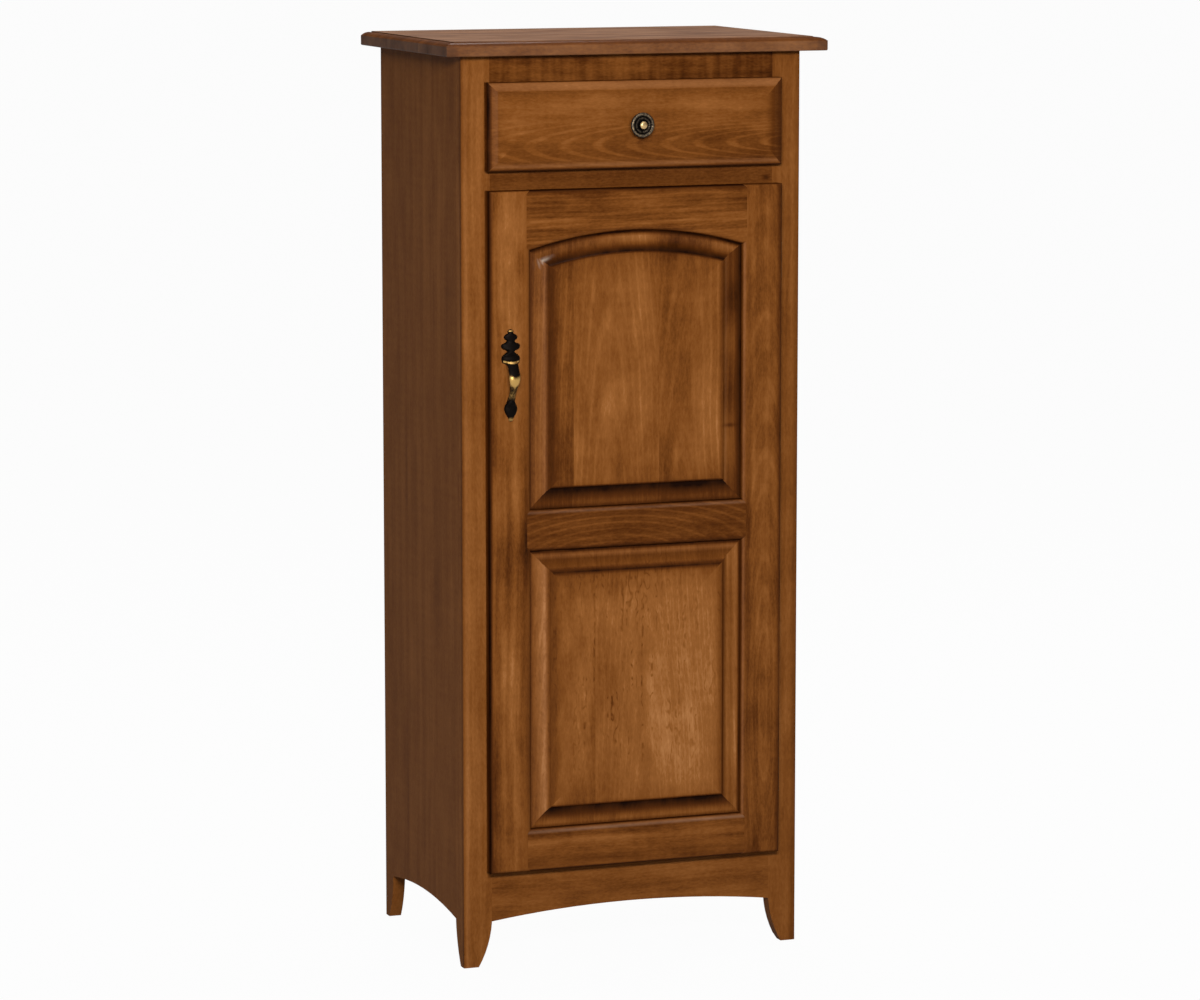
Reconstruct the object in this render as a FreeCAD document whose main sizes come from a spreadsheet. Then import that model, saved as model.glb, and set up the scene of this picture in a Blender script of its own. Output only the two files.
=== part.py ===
import FreeCAD, Part
import Sketcher
import os

# A jelly cupboard: one drawer over one arched, raised-panel door, on bracket feet.
# Frame: x to the right, y to the back, z up, origin on the floor under the middle of the box.
# All lengths are millimetres. Every board and fitting is an object of its own.

Vector = FreeCAD.Vector
doc = FreeCAD.newDocument("jelly_cupboard")
sheet = doc.addObject("Spreadsheet::Sheet", "Sizes")

# Driving dimensions: name, value, what it is
SIZES = [
    ("case_width", 508, "outside of the two side panels"),
    ("case_depth", 360, "face frame front to back panel"),
    ("case_height", 1291, "floor to underside of the top"),
    ("top_thickness", 20, "top board"),
    ("top_overhang", 30, "top past each side"),
    ("top_front_overhang", 30, "top past the face frame"),
    ("top_edge_width", 16, "moulded edge, width seen from above"),
    ("top_edge_drop", 6, "moulded edge, total fall"),
    ("top_edge_step", 1.5, "small step at the inside of the moulding"),
    ("frame_thickness", 20, "face frame"),
    ("stile_width", 42, "face frame stile"),
    ("top_rail_height", 45, "face frame top rail"),
    ("drawer_opening", 107, "height of the drawer opening"),
    ("middle_rail_height", 43, "rail between drawer and door"),
    ("opening_bottom", 146, "floor to the bottom of the door opening"),
    ("tenon_length", 28, "tenons of the face rails"),
    ("tenon_thickness", 8, "tenons of the face rails"),
    ("tenon_shoulder", 8, "shoulder above and below a tenon"),
    ("foot_height", 65, "floor to the ends of the apron arch"),
    ("foot_width", 22, "front foot at the floor"),
    ("foot_bulge", 4, "rise of the foot curve over its chord"),
    ("side_foot_depth", 36, "foot seen from the side, at its top"),
    ("side_foot_tip", 15, "foot seen from the side, at the floor"),
    ("apron_rise", 14, "rise of the apron arch"),
    ("side_rise", 12, "rise of the arch in a side panel"),
    ("side_thickness", 18, "side panels"),
    ("floor_thickness", 18, "cabinet floor"),
    ("divider_thickness", 12, "panel under the drawer"),
    ("back_thickness", 6, "back panel"),
    ("dado_depth", 6, "housings in the sides"),
    ("rabbet_width", 9, "rabbet for the back panel"),
    ("back_rail_height", 60, "rail inside the top of the back"),
    ("back_rail_thickness", 18, "rail inside the top of the back"),
    ("top_cleat", 20, "square cleats that hold the top"),
    ("shelf_thickness", 18, "shelves"),
    ("shelf_setback", 26, "face frame back to shelf front"),
    ("shelf_play", 1, "gap between a shelf and the sides"),
    ("shelf_cleat_height", 22, "cleats under the shelves"),
    ("shelf_cleat_width", 14, "cleats under the shelves"),
    ("overlay", 8, "door and drawer front past their opening"),
    ("door_gap", 2, "back of the door to the face frame"),
    ("door_thickness", 20, "door frame and drawer front"),
    ("door_stile", 60.5, "door stiles"),
    ("door_bottom_rail", 61.5, "door bottom rail"),
    ("lower_panel_height", 397, "opening of the lower panel"),
    ("lock_rail", 59.5, "rail between the two panels"),
    ("crown_rail", 60, "door top rail over the crown of the arch"),
    ("arch_rise", 24.2, "rise of the arch in the door"),
    ("edge_round", 4.5, "eased outer edges of the door"),
    ("stick_radius", 6, "rounded inner edges of the door frame"),
    ("groove_front", 7, "door face to the panel groove"),
    ("groove_width", 6.5, "panel groove"),
    ("groove_depth", 10, "panel groove"),
    ("panel_float", 1.5, "room for a panel to move in its groove"),
    ("panel_play", 0.15, "gap on each face of a panel edge"),
    ("panel_border", 29.5, "raised border of a panel"),
    ("field_drop", 0.8, "door face to panel field"),
    ("field_step", 1.6, "step round the panel field"),
    ("cove_foot", 1.5, "flat strip outside the cove"),
    ("cove_sag", 2, "hollow of the cove"),
    ("bevel_width", 13, "bevel round the drawer front"),
    ("bevel_depth", 6, "bevel round the drawer front"),
    ("slide_width", 12.7, "drawer slide, side to side"),
    ("slide_height", 45, "drawer slide"),
    ("slide_metal", 1.2, "drawer slide sheet"),
    ("slide_play", 0.3, "running gap in the slide"),
    ("slide_length", 298, "drawer slide"),
    ("box_side", 12, "drawer box boards"),
    ("box_height", 85, "drawer box"),
    ("box_raise", 10, "drawer opening bottom to drawer box"),
    ("box_length", 300, "drawer box, front to back"),
    ("box_bottom", 6, "drawer bottom"),
    ("bottom_raise", 8, "drawer box bottom edge to drawer bottom"),
    ("knob_radius", 17.5, "knob"),
    ("knob_projection", 25, "knob, from the drawer front"),
    ("pull_half", 65, "half the length of the pull"),
    ("pull_projection", 22, "pull, from the door face"),
    ("pull_height", 847, "floor to the middle of the pull"),
    ("hinge_half", 25, "half the height of a hinge"),
    ("hinge_metal", 1.2, "hinge leaf sheet"),
    ("knuckle_radius", 3, "hinge knuckle"),
    ("hinge_pin_radius", 1.5, "hinge pin"),
    ("hinge_inset", 110, "door end to the middle of a hinge"),
    ("hinge_leaf_width", 28, "hinge leaf on the door"),
    ("screw_radius", 1.8, "wood screws"),
    ("screw_head", 3.6, "wood screws, radius of the head"),
    ("screw_head_height", 1.8, "wood screws"),
    ("screw_grip", 12, "wood screws, length in the far board"),
    ("bumper_radius", 3, "bumpers"),
    ("bumper_inset", 30, "end of the door to a bumper"),
    ("catch_height", 48, "magnetic catch"),
]
for row, (alias, value, note) in enumerate(SIZES, start=1):
    sheet.set(f"A{row}", str(value))
    sheet.setAlias(f"A{row}", alias)
    sheet.set(f"B{row}", note)
doc.recompute()


class Dim:
    """A length that knows its value now and the sheet expression that gives it."""

    def __init__(self, value, text):
        self.value = value
        self.text = text

    def __add__(self, other):
        other = dim(other)
        return Dim(self.value + other.value, f"({self.text} + {other.text})")

    def __radd__(self, other):
        return dim(other) + self

    def __sub__(self, other):
        other = dim(other)
        return Dim(self.value - other.value, f"({self.text} - {other.text})")

    def __rsub__(self, other):
        return dim(other) - self

    def __mul__(self, other):
        other = dim(other)
        return Dim(self.value * other.value, f"({self.text} * {other.text})")

    def __rmul__(self, other):
        return dim(other) * self

    def __truediv__(self, other):
        other = dim(other)
        return Dim(self.value / other.value, f"({self.text} / {other.text})")

    def __neg__(self):
        return dim(-1) * self


def dim(thing):
    """Turn a sheet name or a plain number into a Dim."""
    if isinstance(thing, Dim):
        return thing
    if isinstance(thing, str):
        return Dim(float(sheet.get(thing)), f"Sizes.{thing}")
    return Dim(float(thing), f"({float(thing)})")


def bind(obj, prop, length):
    obj.setExpression(prop, dim(length).text)


class Bow:
    """The edge that leaves an outline's vertex is an arc; side +1 bulges to its left."""

    def __init__(self, radius, side):
        self.radius = dim(radius)
        self.side = side


def radius_of(run, rise, sagitta):
    """Radius of an arc over a chord with the given run and rise."""
    chord_squared = run * run + rise * rise
    return (chord_squared / 4 + sagitta * sagitta) / (2 * sagitta)


def origin_plane(body, role):
    return [item for item in body.Origin.OriginFeatures if item.Role == role][0]


def arc_through(start, end, bow):
    """Arc geometry from start to end and whether it runs against the outline."""
    middle = (start + end) / 2
    half = (end - start) / 2
    radius = bow.radius.value
    sagitta = radius - max(radius * radius - half.dot(half), 0.0) ** 0.5
    normal = Vector(-half.y, half.x, 0)
    normal.normalize()
    top = middle + normal * (sagitta * bow.side)
    if bow.side > 0:
        return Part.Arc(end, top, start), True
    return Part.Arc(start, top, end), False


def outline_sketch(body, plane, outline):
    """A closed outline, each vertex placed by two dimensions bound to the sheet."""
    sketch = body.newObject("Sketcher::SketchObject", body.Name + "_outline")
    sketch.AttachmentSupport = [(origin_plane(body, plane), "")]
    sketch.MapMode = "FlatFace"
    corners = [(dim(item[0]), dim(item[1])) for item in outline]
    points = [Vector(across.value, along.value, 0) for across, along in corners]
    count = len(outline)
    ends = []
    for index, item in enumerate(outline):
        start = points[index]
        end = points[(index + 1) % count]
        if len(item) == 3:
            geometry, against = arc_through(start, end, item[2])
        else:
            geometry, against = Part.LineSegment(start, end), False
        sketch.addGeometry(geometry)
        ends.append((2, 1) if against else (1, 2))
    for index, item in enumerate(outline):
        following = (index + 1) % count
        sketch.addConstraint(
            Sketcher.Constraint("Coincident", index, ends[index][1], following, ends[following][0]))
    for index, item in enumerate(outline):
        for kind, length in zip(("DistanceX", "DistanceY"), corners[index]):
            number = sketch.addConstraint(
                Sketcher.Constraint(kind, -1, 1, index, ends[index][0], length.value))
            bind(sketch, f"Constraints[{number}]", length)
        if len(item) == 3:
            number = sketch.addConstraint(
                Sketcher.Constraint("Radius", index, item[2].radius.value))
            bind(sketch, f"Constraints[{number}]", item[2].radius)
    return sketch


# Plane of an outline, the axis it is padded along, and whether the pad is reversed
PLANES = {
    "front": ("XZ_Plane", "y", True),
    "side": ("YZ_Plane", "x", False),
    "plan": ("XY_Plane", "z", False),
}


def prism(label, view, outline, near, far):
    """An outline seen from the front, the side or above, carried from near to far."""
    plane, axis, backwards = PLANES[view]
    body = doc.addObject("PartDesign::Body", label)
    sketch = outline_sketch(body, plane, outline)
    pad = body.newObject("PartDesign::Pad", label + "_pad")
    pad.Profile = sketch
    pad.Reversed = backwards
    bind(pad, "Length", dim(far) - near)
    bind(body, "Placement.Base." + axis, near)
    return body


def turned(label, outline, centre):
    """An outline of (radius, y) turned about the y axis through centre (x, z)."""
    body = doc.addObject("PartDesign::Body", label)
    sketch = outline_sketch(body, "XY_Plane", outline)
    turn = body.newObject("PartDesign::Revolution", label + "_turn")
    turn.Profile = sketch
    turn.ReferenceAxis = (sketch, ["V_Axis"])
    turn.Angle = 360
    bind(body, "Placement.Base.x", centre[0])
    bind(body, "Placement.Base.z", centre[1])
    return body


def board(label, across, deep, tall):
    """A plain board from its low and high x, y and z."""
    box = doc.addObject("Part::Box", label)
    for prop, axis, (low, high) in zip(("Length", "Width", "Height"), "xyz", (across, deep, tall)):
        bind(box, prop, dim(high) - low)
        bind(box, "Placement.Base." + axis, low)
    return box


ROTATIONS = {
    "x": FreeCAD.Rotation(Vector(0, 1, 0), 90),
    "y": FreeCAD.Rotation(Vector(1, 0, 0), -90),
    "z": FreeCAD.Rotation(),
}


def rod(label, axis, low, high, others, radius, far_radius=None):
    """A cylinder along an axis from low to high, or a cone if it has a second radius."""
    round_piece = doc.addObject("Part::Cone" if far_radius else "Part::Cylinder", label)
    round_piece.Placement = FreeCAD.Placement(Vector(), ROTATIONS[axis])
    if far_radius:
        bind(round_piece, "Radius1", radius)
        bind(round_piece, "Radius2", far_radius)
    else:
        bind(round_piece, "Radius", radius)
    bind(round_piece, "Height", dim(high) - low)
    places = dict(zip([name for name in "xyz" if name != axis], others))
    places[axis] = low
    for name, length in places.items():
        bind(round_piece, "Placement.Base." + name, length)
    return round_piece


def screw_rod(label, axis, low, high, others, radius):
    """A short straight shank or head with twelve sides."""
    shank = doc.addObject("Part::Prism", label)
    shank.Placement = FreeCAD.Placement(Vector(), ROTATIONS[axis])
    shank.Polygon = 12
    bind(shank, "Circumradius", radius)
    bind(shank, "Height", dim(high) - low)
    places = dict(zip([name for name in "xyz" if name != axis], others))
    places[axis] = low
    for name, length in places.items():
        bind(shank, "Placement.Base." + name, length)
    return shank


def fuse(label, pieces):
    joined = doc.addObject("Part::MultiFuse", label)
    joined.Shapes = pieces
    joined.Refine = True
    return joined


def cut(label, base, tools):
    """Base with every tool taken out of it, one after another."""
    result = base
    for index, tool in enumerate(tools):
        name = label if index == len(tools) - 1 else f"{label}_stage{index}"
        difference = doc.addObject("Part::Cut", name)
        difference.Base = result
        difference.Tool = tool
        result = difference
    return result


def common(label, pieces):
    """What all the pieces share, taken two at a time."""
    result = pieces[0]
    for index, piece in enumerate(pieces[1:], start=1):
        name = label if index == len(pieces) - 1 else f"{label}_share{index}"
        shared = doc.addObject("Part::Common", name)
        shared.Base = result
        shared.Tool = piece
        result = shared
    return result


subparts = {}


def keep(label, piece):
    """Name a finished sub-part."""
    piece.Label = label
    subparts[label] = piece
    return piece


SIDES = (("left", -1), ("right", 1))


def span(side, inner, outer):
    """Low and high x of something on the left (-1) or the right (1)."""
    if side > 0:
        return (dim(inner), dim(outer))
    return (-dim(outer), -dim(inner))


# Main planes of the case
half_width = dim("case_width") / 2
front_reach = dim("door_gap") + "door_thickness" + "knob_projection"
face_y = -(dim("case_depth") - front_reach) / 2
back_y = face_y + "case_depth"
inside_y = face_y + "frame_thickness"
panel_y = back_y - "back_thickness"
opening_x = half_width - "stile_width"
inside_x = half_width - "side_thickness"
case_top = dim("case_height")
drawer_top = case_top - "top_rail_height"
drawer_bottom = drawer_top - "drawer_opening"
door_top = drawer_bottom - "middle_rail_height"
door_bottom = dim("opening_bottom")
floor_bottom = door_bottom - "floor_thickness"
divider_bottom = door_top + dim("middle_rail_height") / 2 - dim("divider_thickness") / 2
divider_top = divider_bottom + "divider_thickness"
foot_height = dim("foot_height")
foot_bulge = dim("foot_bulge")

# Face frame rails, each with a tenon at both ends
tenon_front = face_y + (dim("frame_thickness") - "tenon_thickness") / 2
tenon_back = tenon_front + "tenon_thickness"


def tenons(label, low, high):
    """Two tenons for a face rail whose tenons run from low to high."""
    return [
        board(f"{label}_tenon_{name}", span(side, opening_x, opening_x + "tenon_length"),
              (tenon_front, tenon_back), (low, high))
        for name, side in SIDES
    ]


def face_rail(label, low, high):
    blank = board(label + "_blank", (-opening_x, opening_x), (face_y, inside_y), (low, high))
    ends = tenons(label, low + "tenon_shoulder", high - "tenon_shoulder")
    return keep(label, fuse(label, [blank] + ends))


face_rail_top = face_rail("face_rail_top", drawer_top, case_top)
face_rail_middle = face_rail("face_rail_middle", door_top, drawer_bottom)

apron_radius = radius_of(2 * opening_x, dim(0), dim("apron_rise"))
apron_blank = prism("apron_blank", "front", [
    (-opening_x, foot_height, Bow(apron_radius, 1)),
    (opening_x, foot_height),
    (opening_x, door_bottom),
    (-opening_x, door_bottom),
], face_y, inside_y)
apron_tenons = tenons("apron", foot_height + "tenon_shoulder", door_bottom - "tenon_shoulder")
apron = keep("apron", fuse("apron", [apron_blank] + apron_tenons))
face_rails = [face_rail_top, face_rail_middle, apron]

# Side outline: two tapered feet, the arch between them and straight edges above
side_taper = dim("side_foot_depth") - "side_foot_tip"
side_foot_radius = radius_of(side_taper, foot_height, foot_bulge)
side_arch_run = dim("case_depth") - 2 * dim("side_foot_depth")
side_arch_radius = radius_of(side_arch_run, dim(0), dim("side_rise"))
SIDE_OUTLINE = [
    (face_y, dim(0)),
    (face_y + "side_foot_tip", dim(0), Bow(side_foot_radius, -1)),
    (face_y + "side_foot_depth", foot_height, Bow(side_arch_radius, 1)),
    (back_y - "side_foot_depth", foot_height, Bow(side_foot_radius, -1)),
    (back_y - "side_foot_tip", dim(0)),
    (back_y, dim(0)),
    (back_y, case_top),
    (face_y, case_top),
]

# Horizontal boards of the case
cabinet_floor = keep("cabinet_floor", board(
    "cabinet_floor", (-(inside_x + "dado_depth"), inside_x + "dado_depth"), (inside_y, panel_y),
    (floor_bottom, door_bottom)))
divider_panel = keep("divider_panel", board(
    "divider_panel", (-(inside_x + "dado_depth"), inside_x + "dado_depth"), (inside_y, panel_y),
    (divider_bottom, divider_top)))
back_panel = keep("back_panel", board(
    "back_panel", (-(inside_x + "rabbet_width"), inside_x + "rabbet_width"), (panel_y, back_y),
    (floor_bottom, case_top)))
back_rail_y = panel_y - "back_rail_thickness"
keep("back_rail", board(
    "back_rail", (-inside_x, inside_x), (back_rail_y, panel_y),
    (case_top - "back_rail_height", case_top)))

# Shelves, each on a pair of cleats
shelf_front = inside_y + "shelf_setback"
shelf_back = panel_y - "shelf_play"
shelf_reach = inside_x - "shelf_play"
room = divider_bottom - door_bottom
shelf_cleat_boards = []
for number, name in enumerate(("lower", "middle", "upper"), start=1):
    under = door_bottom + room * number / 4 - dim("shelf_thickness") / 2
    shelf_outline = [
        (shelf_back, under),
        (shelf_back, under + "shelf_thickness"),
        (shelf_front + 2, under + "shelf_thickness", Bow(2, -1)),
        (shelf_front, under + "shelf_thickness" - 2),
        (shelf_front, under + 2, Bow(2, -1)),
        (shelf_front + 2, under),
    ]
    keep("shelf_" + name, prism(
        "shelf_" + name, "side", shelf_outline, -shelf_reach, shelf_reach))
    for side_name, side in SIDES:
        shelf_cleat_boards.append(board(
            f"shelf_cleat_{name}_{side_name}", span(side, inside_x - "shelf_cleat_width", inside_x),
            (shelf_front, panel_y), (under - "shelf_cleat_height", under)))
keep("shelf_cleats", fuse("shelf_cleats", shelf_cleat_boards))

# Cleats along the top, with the screws that hold the top board down
cleat_bottom = case_top - "top_cleat"
screw_parts = []
for name, side in SIDES:
    for number in range(2):
        stem = f"top_screw_{name}_{number}"
        run = back_rail_y - inside_y
        place = (side * (inside_x - dim("top_cleat") / 2), inside_y + run * (2 * number + 1) / 4)
        screw_parts.append(screw_rod(
            stem, "z", cleat_bottom - "screw_head_height", cleat_bottom, place, "screw_head"))
        screw_parts.append(screw_rod(
            stem + "_shank", "z", cleat_bottom, case_top + "screw_grip", place, "screw_radius"))
top_screws = keep("top_screws", fuse("top_screws", screw_parts))
for name, side in SIDES:
    blank = board(f"top_cleat_{name}_blank", span(side, inside_x - "top_cleat", inside_x),
                  (inside_y, back_rail_y), (cleat_bottom, case_top))
    keep("top_cleat_" + name, cut("top_cleat_" + name, blank, [top_screws]))

# Top board: two sections, each with its moulded edges, shared where they cross
top_x = half_width + "top_overhang"
top_y = face_y - "top_front_overhang"
top_z = case_top + "top_thickness"
mould_fall = dim("top_edge_drop") - "top_edge_step"
mould_bow = Bow(radius_of(dim("top_edge_width"), mould_fall, dim(2)), 1)
under_bow = Bow(2, 1)
top_across = prism("top_across", "front", [
    (-(top_x - 2), case_top, under_bow),
    (-top_x, case_top + 2),
    (-top_x, top_z - "top_edge_drop", mould_bow),
    (-(top_x - "top_edge_width"), top_z - "top_edge_step"),
    (-(top_x - "top_edge_width"), top_z),
    (top_x - "top_edge_width", top_z),
    (top_x - "top_edge_width", top_z - "top_edge_step", mould_bow),
    (top_x, top_z - "top_edge_drop"),
    (top_x, case_top + 2, under_bow),
    (top_x - 2, case_top),
], top_y - 1, back_y)
top_along = prism("top_along", "side", [
    (top_y + 2, case_top, under_bow),
    (top_y, case_top + 2),
    (top_y, top_z - "top_edge_drop", mould_bow),
    (top_y + "top_edge_width", top_z - "top_edge_step"),
    (top_y + "top_edge_width", top_z),
    (back_y + 1, top_z),
    (back_y + 1, case_top),
], -(top_x + 1), top_x + 1)
top_blank = common("top_blank", [top_across, top_along])
keep("top_board", cut("top_board", top_blank, [top_screws]))

# Drawer slides: cabinet, middle and drawer member on each side, one inside the other
box_bottom = drawer_bottom + "box_raise"
box_top = box_bottom + "box_height"
slide_z = (box_bottom + box_top) / 2
slide_start = face_y + 2
slide_end = slide_start + "slide_length"
metal = dim("slide_metal")
nest = metal + "slide_play"
cabinet_half = dim("slide_height") / 2
middle_half = cabinet_half - nest
drawer_half = middle_half - nest


def channel(label, side, plate, lip, half):
    """A C channel: its plate stands at the depth `plate`, its two lips reach to `lip`."""
    forward = 1 if lip.value > plate.value else -1
    inner = plate + forward * metal

    def at(depth):
        return side * (opening_x - depth)

    return keep(label, prism(label, "front", [
        (at(plate), slide_z - half),
        (at(lip), slide_z - half),
        (at(lip), slide_z - half + metal),
        (at(inner), slide_z - half + metal),
        (at(inner), slide_z + half - metal),
        (at(lip), slide_z + half - metal),
        (at(lip), slide_z + half),
        (at(plate), slide_z + half),
    ], slide_start, slide_end))


for name, side in SIDES:
    width = dim("slide_width")
    channel("slide_cabinet_" + name, side, dim(0), width - 3.7, cabinet_half)
    channel("slide_middle_" + name, side, metal + 0.8, width - 2.1, middle_half)
    channel("slide_drawer_" + name, side, width, metal + 3.3, drawer_half)
    keep("slide_cleat_" + name, board(
        "slide_cleat_" + name, span(side, opening_x, inside_x), (inside_y, panel_y),
        (slide_z - cabinet_half - 7, slide_z + cabinet_half + 7)))

# Drawer front: two bevelled sections, shared where they cross
door_x = opening_x + "overlay"
door_face = face_y - "door_gap" - "door_thickness"
door_back = face_y - "door_gap"
front_low = drawer_bottom - "overlay"
front_high = drawer_top + "overlay"
front_z = (front_low + front_high) / 2
drawer_front_across = prism("drawer_front_across", "plan", [
    (-door_x, door_back),
    (-door_x, door_face + "bevel_depth"),
    (-(door_x - "bevel_width"), door_face),
    (door_x - "bevel_width", door_face),
    (door_x, door_face + "bevel_depth"),
    (door_x, door_back),
], front_low - 1, front_high + 1)
drawer_front_along = prism("drawer_front_along", "side", [
    (door_back, front_low),
    (door_face + "bevel_depth", front_low),
    (door_face, front_low + "bevel_width"),
    (door_face, front_high - "bevel_width"),
    (door_face + "bevel_depth", front_high),
    (door_back, front_high),
], -(door_x + 1), door_x + 1)
drawer_front_blank = common("drawer_front_blank", [drawer_front_across, drawer_front_along])

# Drawer box: sides dovetailed into front and back, bottom in grooves
box_x = opening_x - "slide_width"
box_inner = box_x - "box_side"
box_back = door_back + "box_length"
tongue = dim("box_side") / 2
bottom_low = box_bottom + "bottom_raise"
drawer_bottom_board = keep("drawer_bottom", board(
    "drawer_bottom", (-(box_inner + tongue), box_inner + tongue),
    (door_back + tongue, box_back - tongue), (bottom_low, bottom_low + "box_bottom")))
TAILS = 3
tail_pitch = dim("box_height") / TAILS


def tailed_end(base, end, numbers):
    """Vertices of the tails on one end of a drawer side, each wider at the end."""
    vertices = []
    for number in numbers:
        middle = box_bottom + tail_pitch * (number + 0.5)
        up = 1 if numbers[0] < numbers[-1] else -1
        vertices.append((base, middle - up * tail_pitch * 0.27))
        vertices.append((end, middle - up * tail_pitch * 0.36))
        vertices.append((end, middle + up * tail_pitch * 0.36))
        vertices.append((base, middle + up * tail_pitch * 0.27))
    return vertices


front_base = door_back + "box_side"
back_base = box_back - "box_side"
rising = list(range(TAILS))
SIDE_BOARD = (
    [(front_base, box_bottom)] + tailed_end(front_base, door_back, rising)
    + [(front_base, box_top), (back_base, box_top)]
    + tailed_end(back_base, box_back, rising[::-1]) + [(back_base, box_bottom)])
tailed_sides = []
for name, side in SIDES:
    low, high = span(side, box_inner, box_x)
    tailed = prism(f"drawer_side_{name}_tailed", "side", SIDE_BOARD, low, high)
    tailed_sides.append(tailed)
    keep("drawer_side_" + name, cut("drawer_side_" + name, tailed, [drawer_bottom_board]))
box_front_blank = board(
    "drawer_box_front_blank", (-box_x, box_x), (door_back, front_base), (box_bottom, box_top))
box_back_blank = board(
    "drawer_back_blank", (-box_x, box_x), (back_base, box_back), (box_bottom, box_top))
keep("drawer_back", cut(
    "drawer_back", box_back_blank, tailed_sides + [drawer_bottom_board]))

# Knob, turned: collar, neck, flared dish and centre boss, with its screw from behind
knob = dim("knob_radius")
reach = dim("knob_projection")
knob_blank = turned("drawer_knob_blank", [
    (dim(0), door_face),
    (knob * 0.5, door_face),
    (knob * 0.5, door_face - reach * 0.1),
    (knob * 0.36, door_face - reach * 0.1),
    (knob * 0.36, door_face - reach * 0.42),
    (knob, door_face - reach * 0.68),
    (knob, door_face - reach * 0.8),
    (knob * 0.46, door_face - reach * 0.8),
    (knob * 0.46, door_face - reach),
    (dim(0), door_face - reach),
], (dim(0), front_z))
knob_screw = keep("knob_screw", fuse("knob_screw", [
    screw_rod("knob_screw_head", "y", front_base, front_base + "screw_head_height",
              (0, front_z), "screw_head"),
    screw_rod("knob_screw_shank", "y", door_face - reach * 0.5, front_base,
              (0, front_z), "screw_radius"),
]))
keep("drawer_knob", cut("drawer_knob", knob_blank, [knob_screw]))

front_screw_parts = []
for name, side in SIDES:
    stem = "front_screw_" + name
    spot = (side * (box_inner * 0.75), slide_z)
    front_screw_parts.append(screw_rod(
        stem, "y", front_base, front_base + "screw_head_height", spot, "screw_head"))
    front_screw_parts.append(screw_rod(
        stem + "_shank", "y", door_back - "screw_grip", front_base, spot, "screw_radius"))
front_screws = keep("drawer_front_screws", fuse("drawer_front_screws", front_screw_parts))
keep("drawer_box_front", cut(
    "drawer_box_front", box_front_blank,
    tailed_sides + [drawer_bottom_board, knob_screw, front_screws]))
keep("drawer_front", cut("drawer_front", drawer_front_blank, [knob_screw, front_screws]))
bumper_end = face_y - 0.3
bumper_x = door_x - dim("overlay") / 2
keep("drawer_bumpers", fuse("drawer_bumpers", [
    screw_rod("drawer_bumper_" + name, "y", door_back, bumper_end,
              (side * bumper_x, front_low + "bumper_inset"), "bumper_radius")
    for name, side in SIDES
]))

# Door frame: profiled stiles, and rails coped over the stiles' profile
leaf_low = door_bottom - "overlay"
leaf_high = door_top + "overlay"
panel_x = door_x - "door_stile"
easing = dim("edge_round")
stick = dim("stick_radius")
groove_a = door_face + "groove_front"
groove_b = groove_a + "groove_width"
groove = dim("groove_depth")
door_envelope = prism("door_envelope", "side", [
    (door_back, leaf_low),
    (door_face + easing, leaf_low, Bow(easing, 1)),
    (door_face, leaf_low + easing),
    (door_face, leaf_high - easing, Bow(easing, 1)),
    (door_face + easing, leaf_high),
    (door_back, leaf_high),
], -(door_x + 1), door_x + 1)


def stile_outline(side):
    return [
        (side * door_x, door_back),
        (side * door_x, door_face + easing, Bow(easing, side)),
        (side * (door_x - easing), door_face),
        (side * (panel_x + stick), door_face, Bow(stick, side)),
        (side * panel_x, door_face + stick),
        (side * panel_x, groove_a),
        (side * (panel_x + groove), groove_a),
        (side * (panel_x + groove), groove_b),
        (side * panel_x, groove_b),
        (side * panel_x, door_back),
    ]


stile_blanks = {}
for name, side in SIDES:
    stem = f"door_stile_{name}"
    long_stile = prism(stem + "_long", "plan", stile_outline(side), leaf_low - 1, leaf_high + 1)
    stile_blanks[name] = common(stem + "_blank", [long_stile, door_envelope])
both_stiles = [stile_blanks["left"], stile_blanks["right"]]

rail_end = panel_x + groove
lower_low = leaf_low + "door_bottom_rail"
lower_high = lower_low + "lower_panel_height"
upper_low = lower_high + "lock_rail"
crown = leaf_high - "crown_rail"
spring = crown - "arch_rise"
arch_radius = radius_of(2 * panel_x, dim(0), dim("arch_rise"))
arch_centre = (dim(0), crown - arch_radius)

bottom_rail_long = prism("door_rail_bottom_long", "side", [
    (door_back, leaf_low - 1),
    (door_face, leaf_low - 1),
    (door_face, lower_low - stick, Bow(stick, 1)),
    (door_face + stick, lower_low),
    (groove_a, lower_low),
    (groove_a, lower_low - groove),
    (groove_b, lower_low - groove),
    (groove_b, lower_low),
    (door_back, lower_low),
], -rail_end, rail_end)
bottom_rail_blank = common("door_rail_bottom_blank", [bottom_rail_long, door_envelope])
keep("door_rail_bottom", cut("door_rail_bottom", bottom_rail_blank, both_stiles))

lock_rail_blank = prism("door_rail_lock_blank", "side", [
    (door_face + stick, lower_high, Bow(stick, 1)),
    (door_face, lower_high + stick),
    (door_face, upper_low - stick, Bow(stick, 1)),
    (door_face + stick, upper_low),
    (groove_a, upper_low),
    (groove_a, upper_low - groove),
    (groove_b, upper_low - groove),
    (groove_b, upper_low),
    (door_back, upper_low),
    (door_back, lower_high),
    (groove_b, lower_high),
    (groove_b, lower_high + groove),
    (groove_a, lower_high + groove),
    (groove_a, lower_high),
], -rail_end, rail_end)
keep("door_rail_lock", cut("door_rail_lock", lock_rail_blank, both_stiles))

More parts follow.
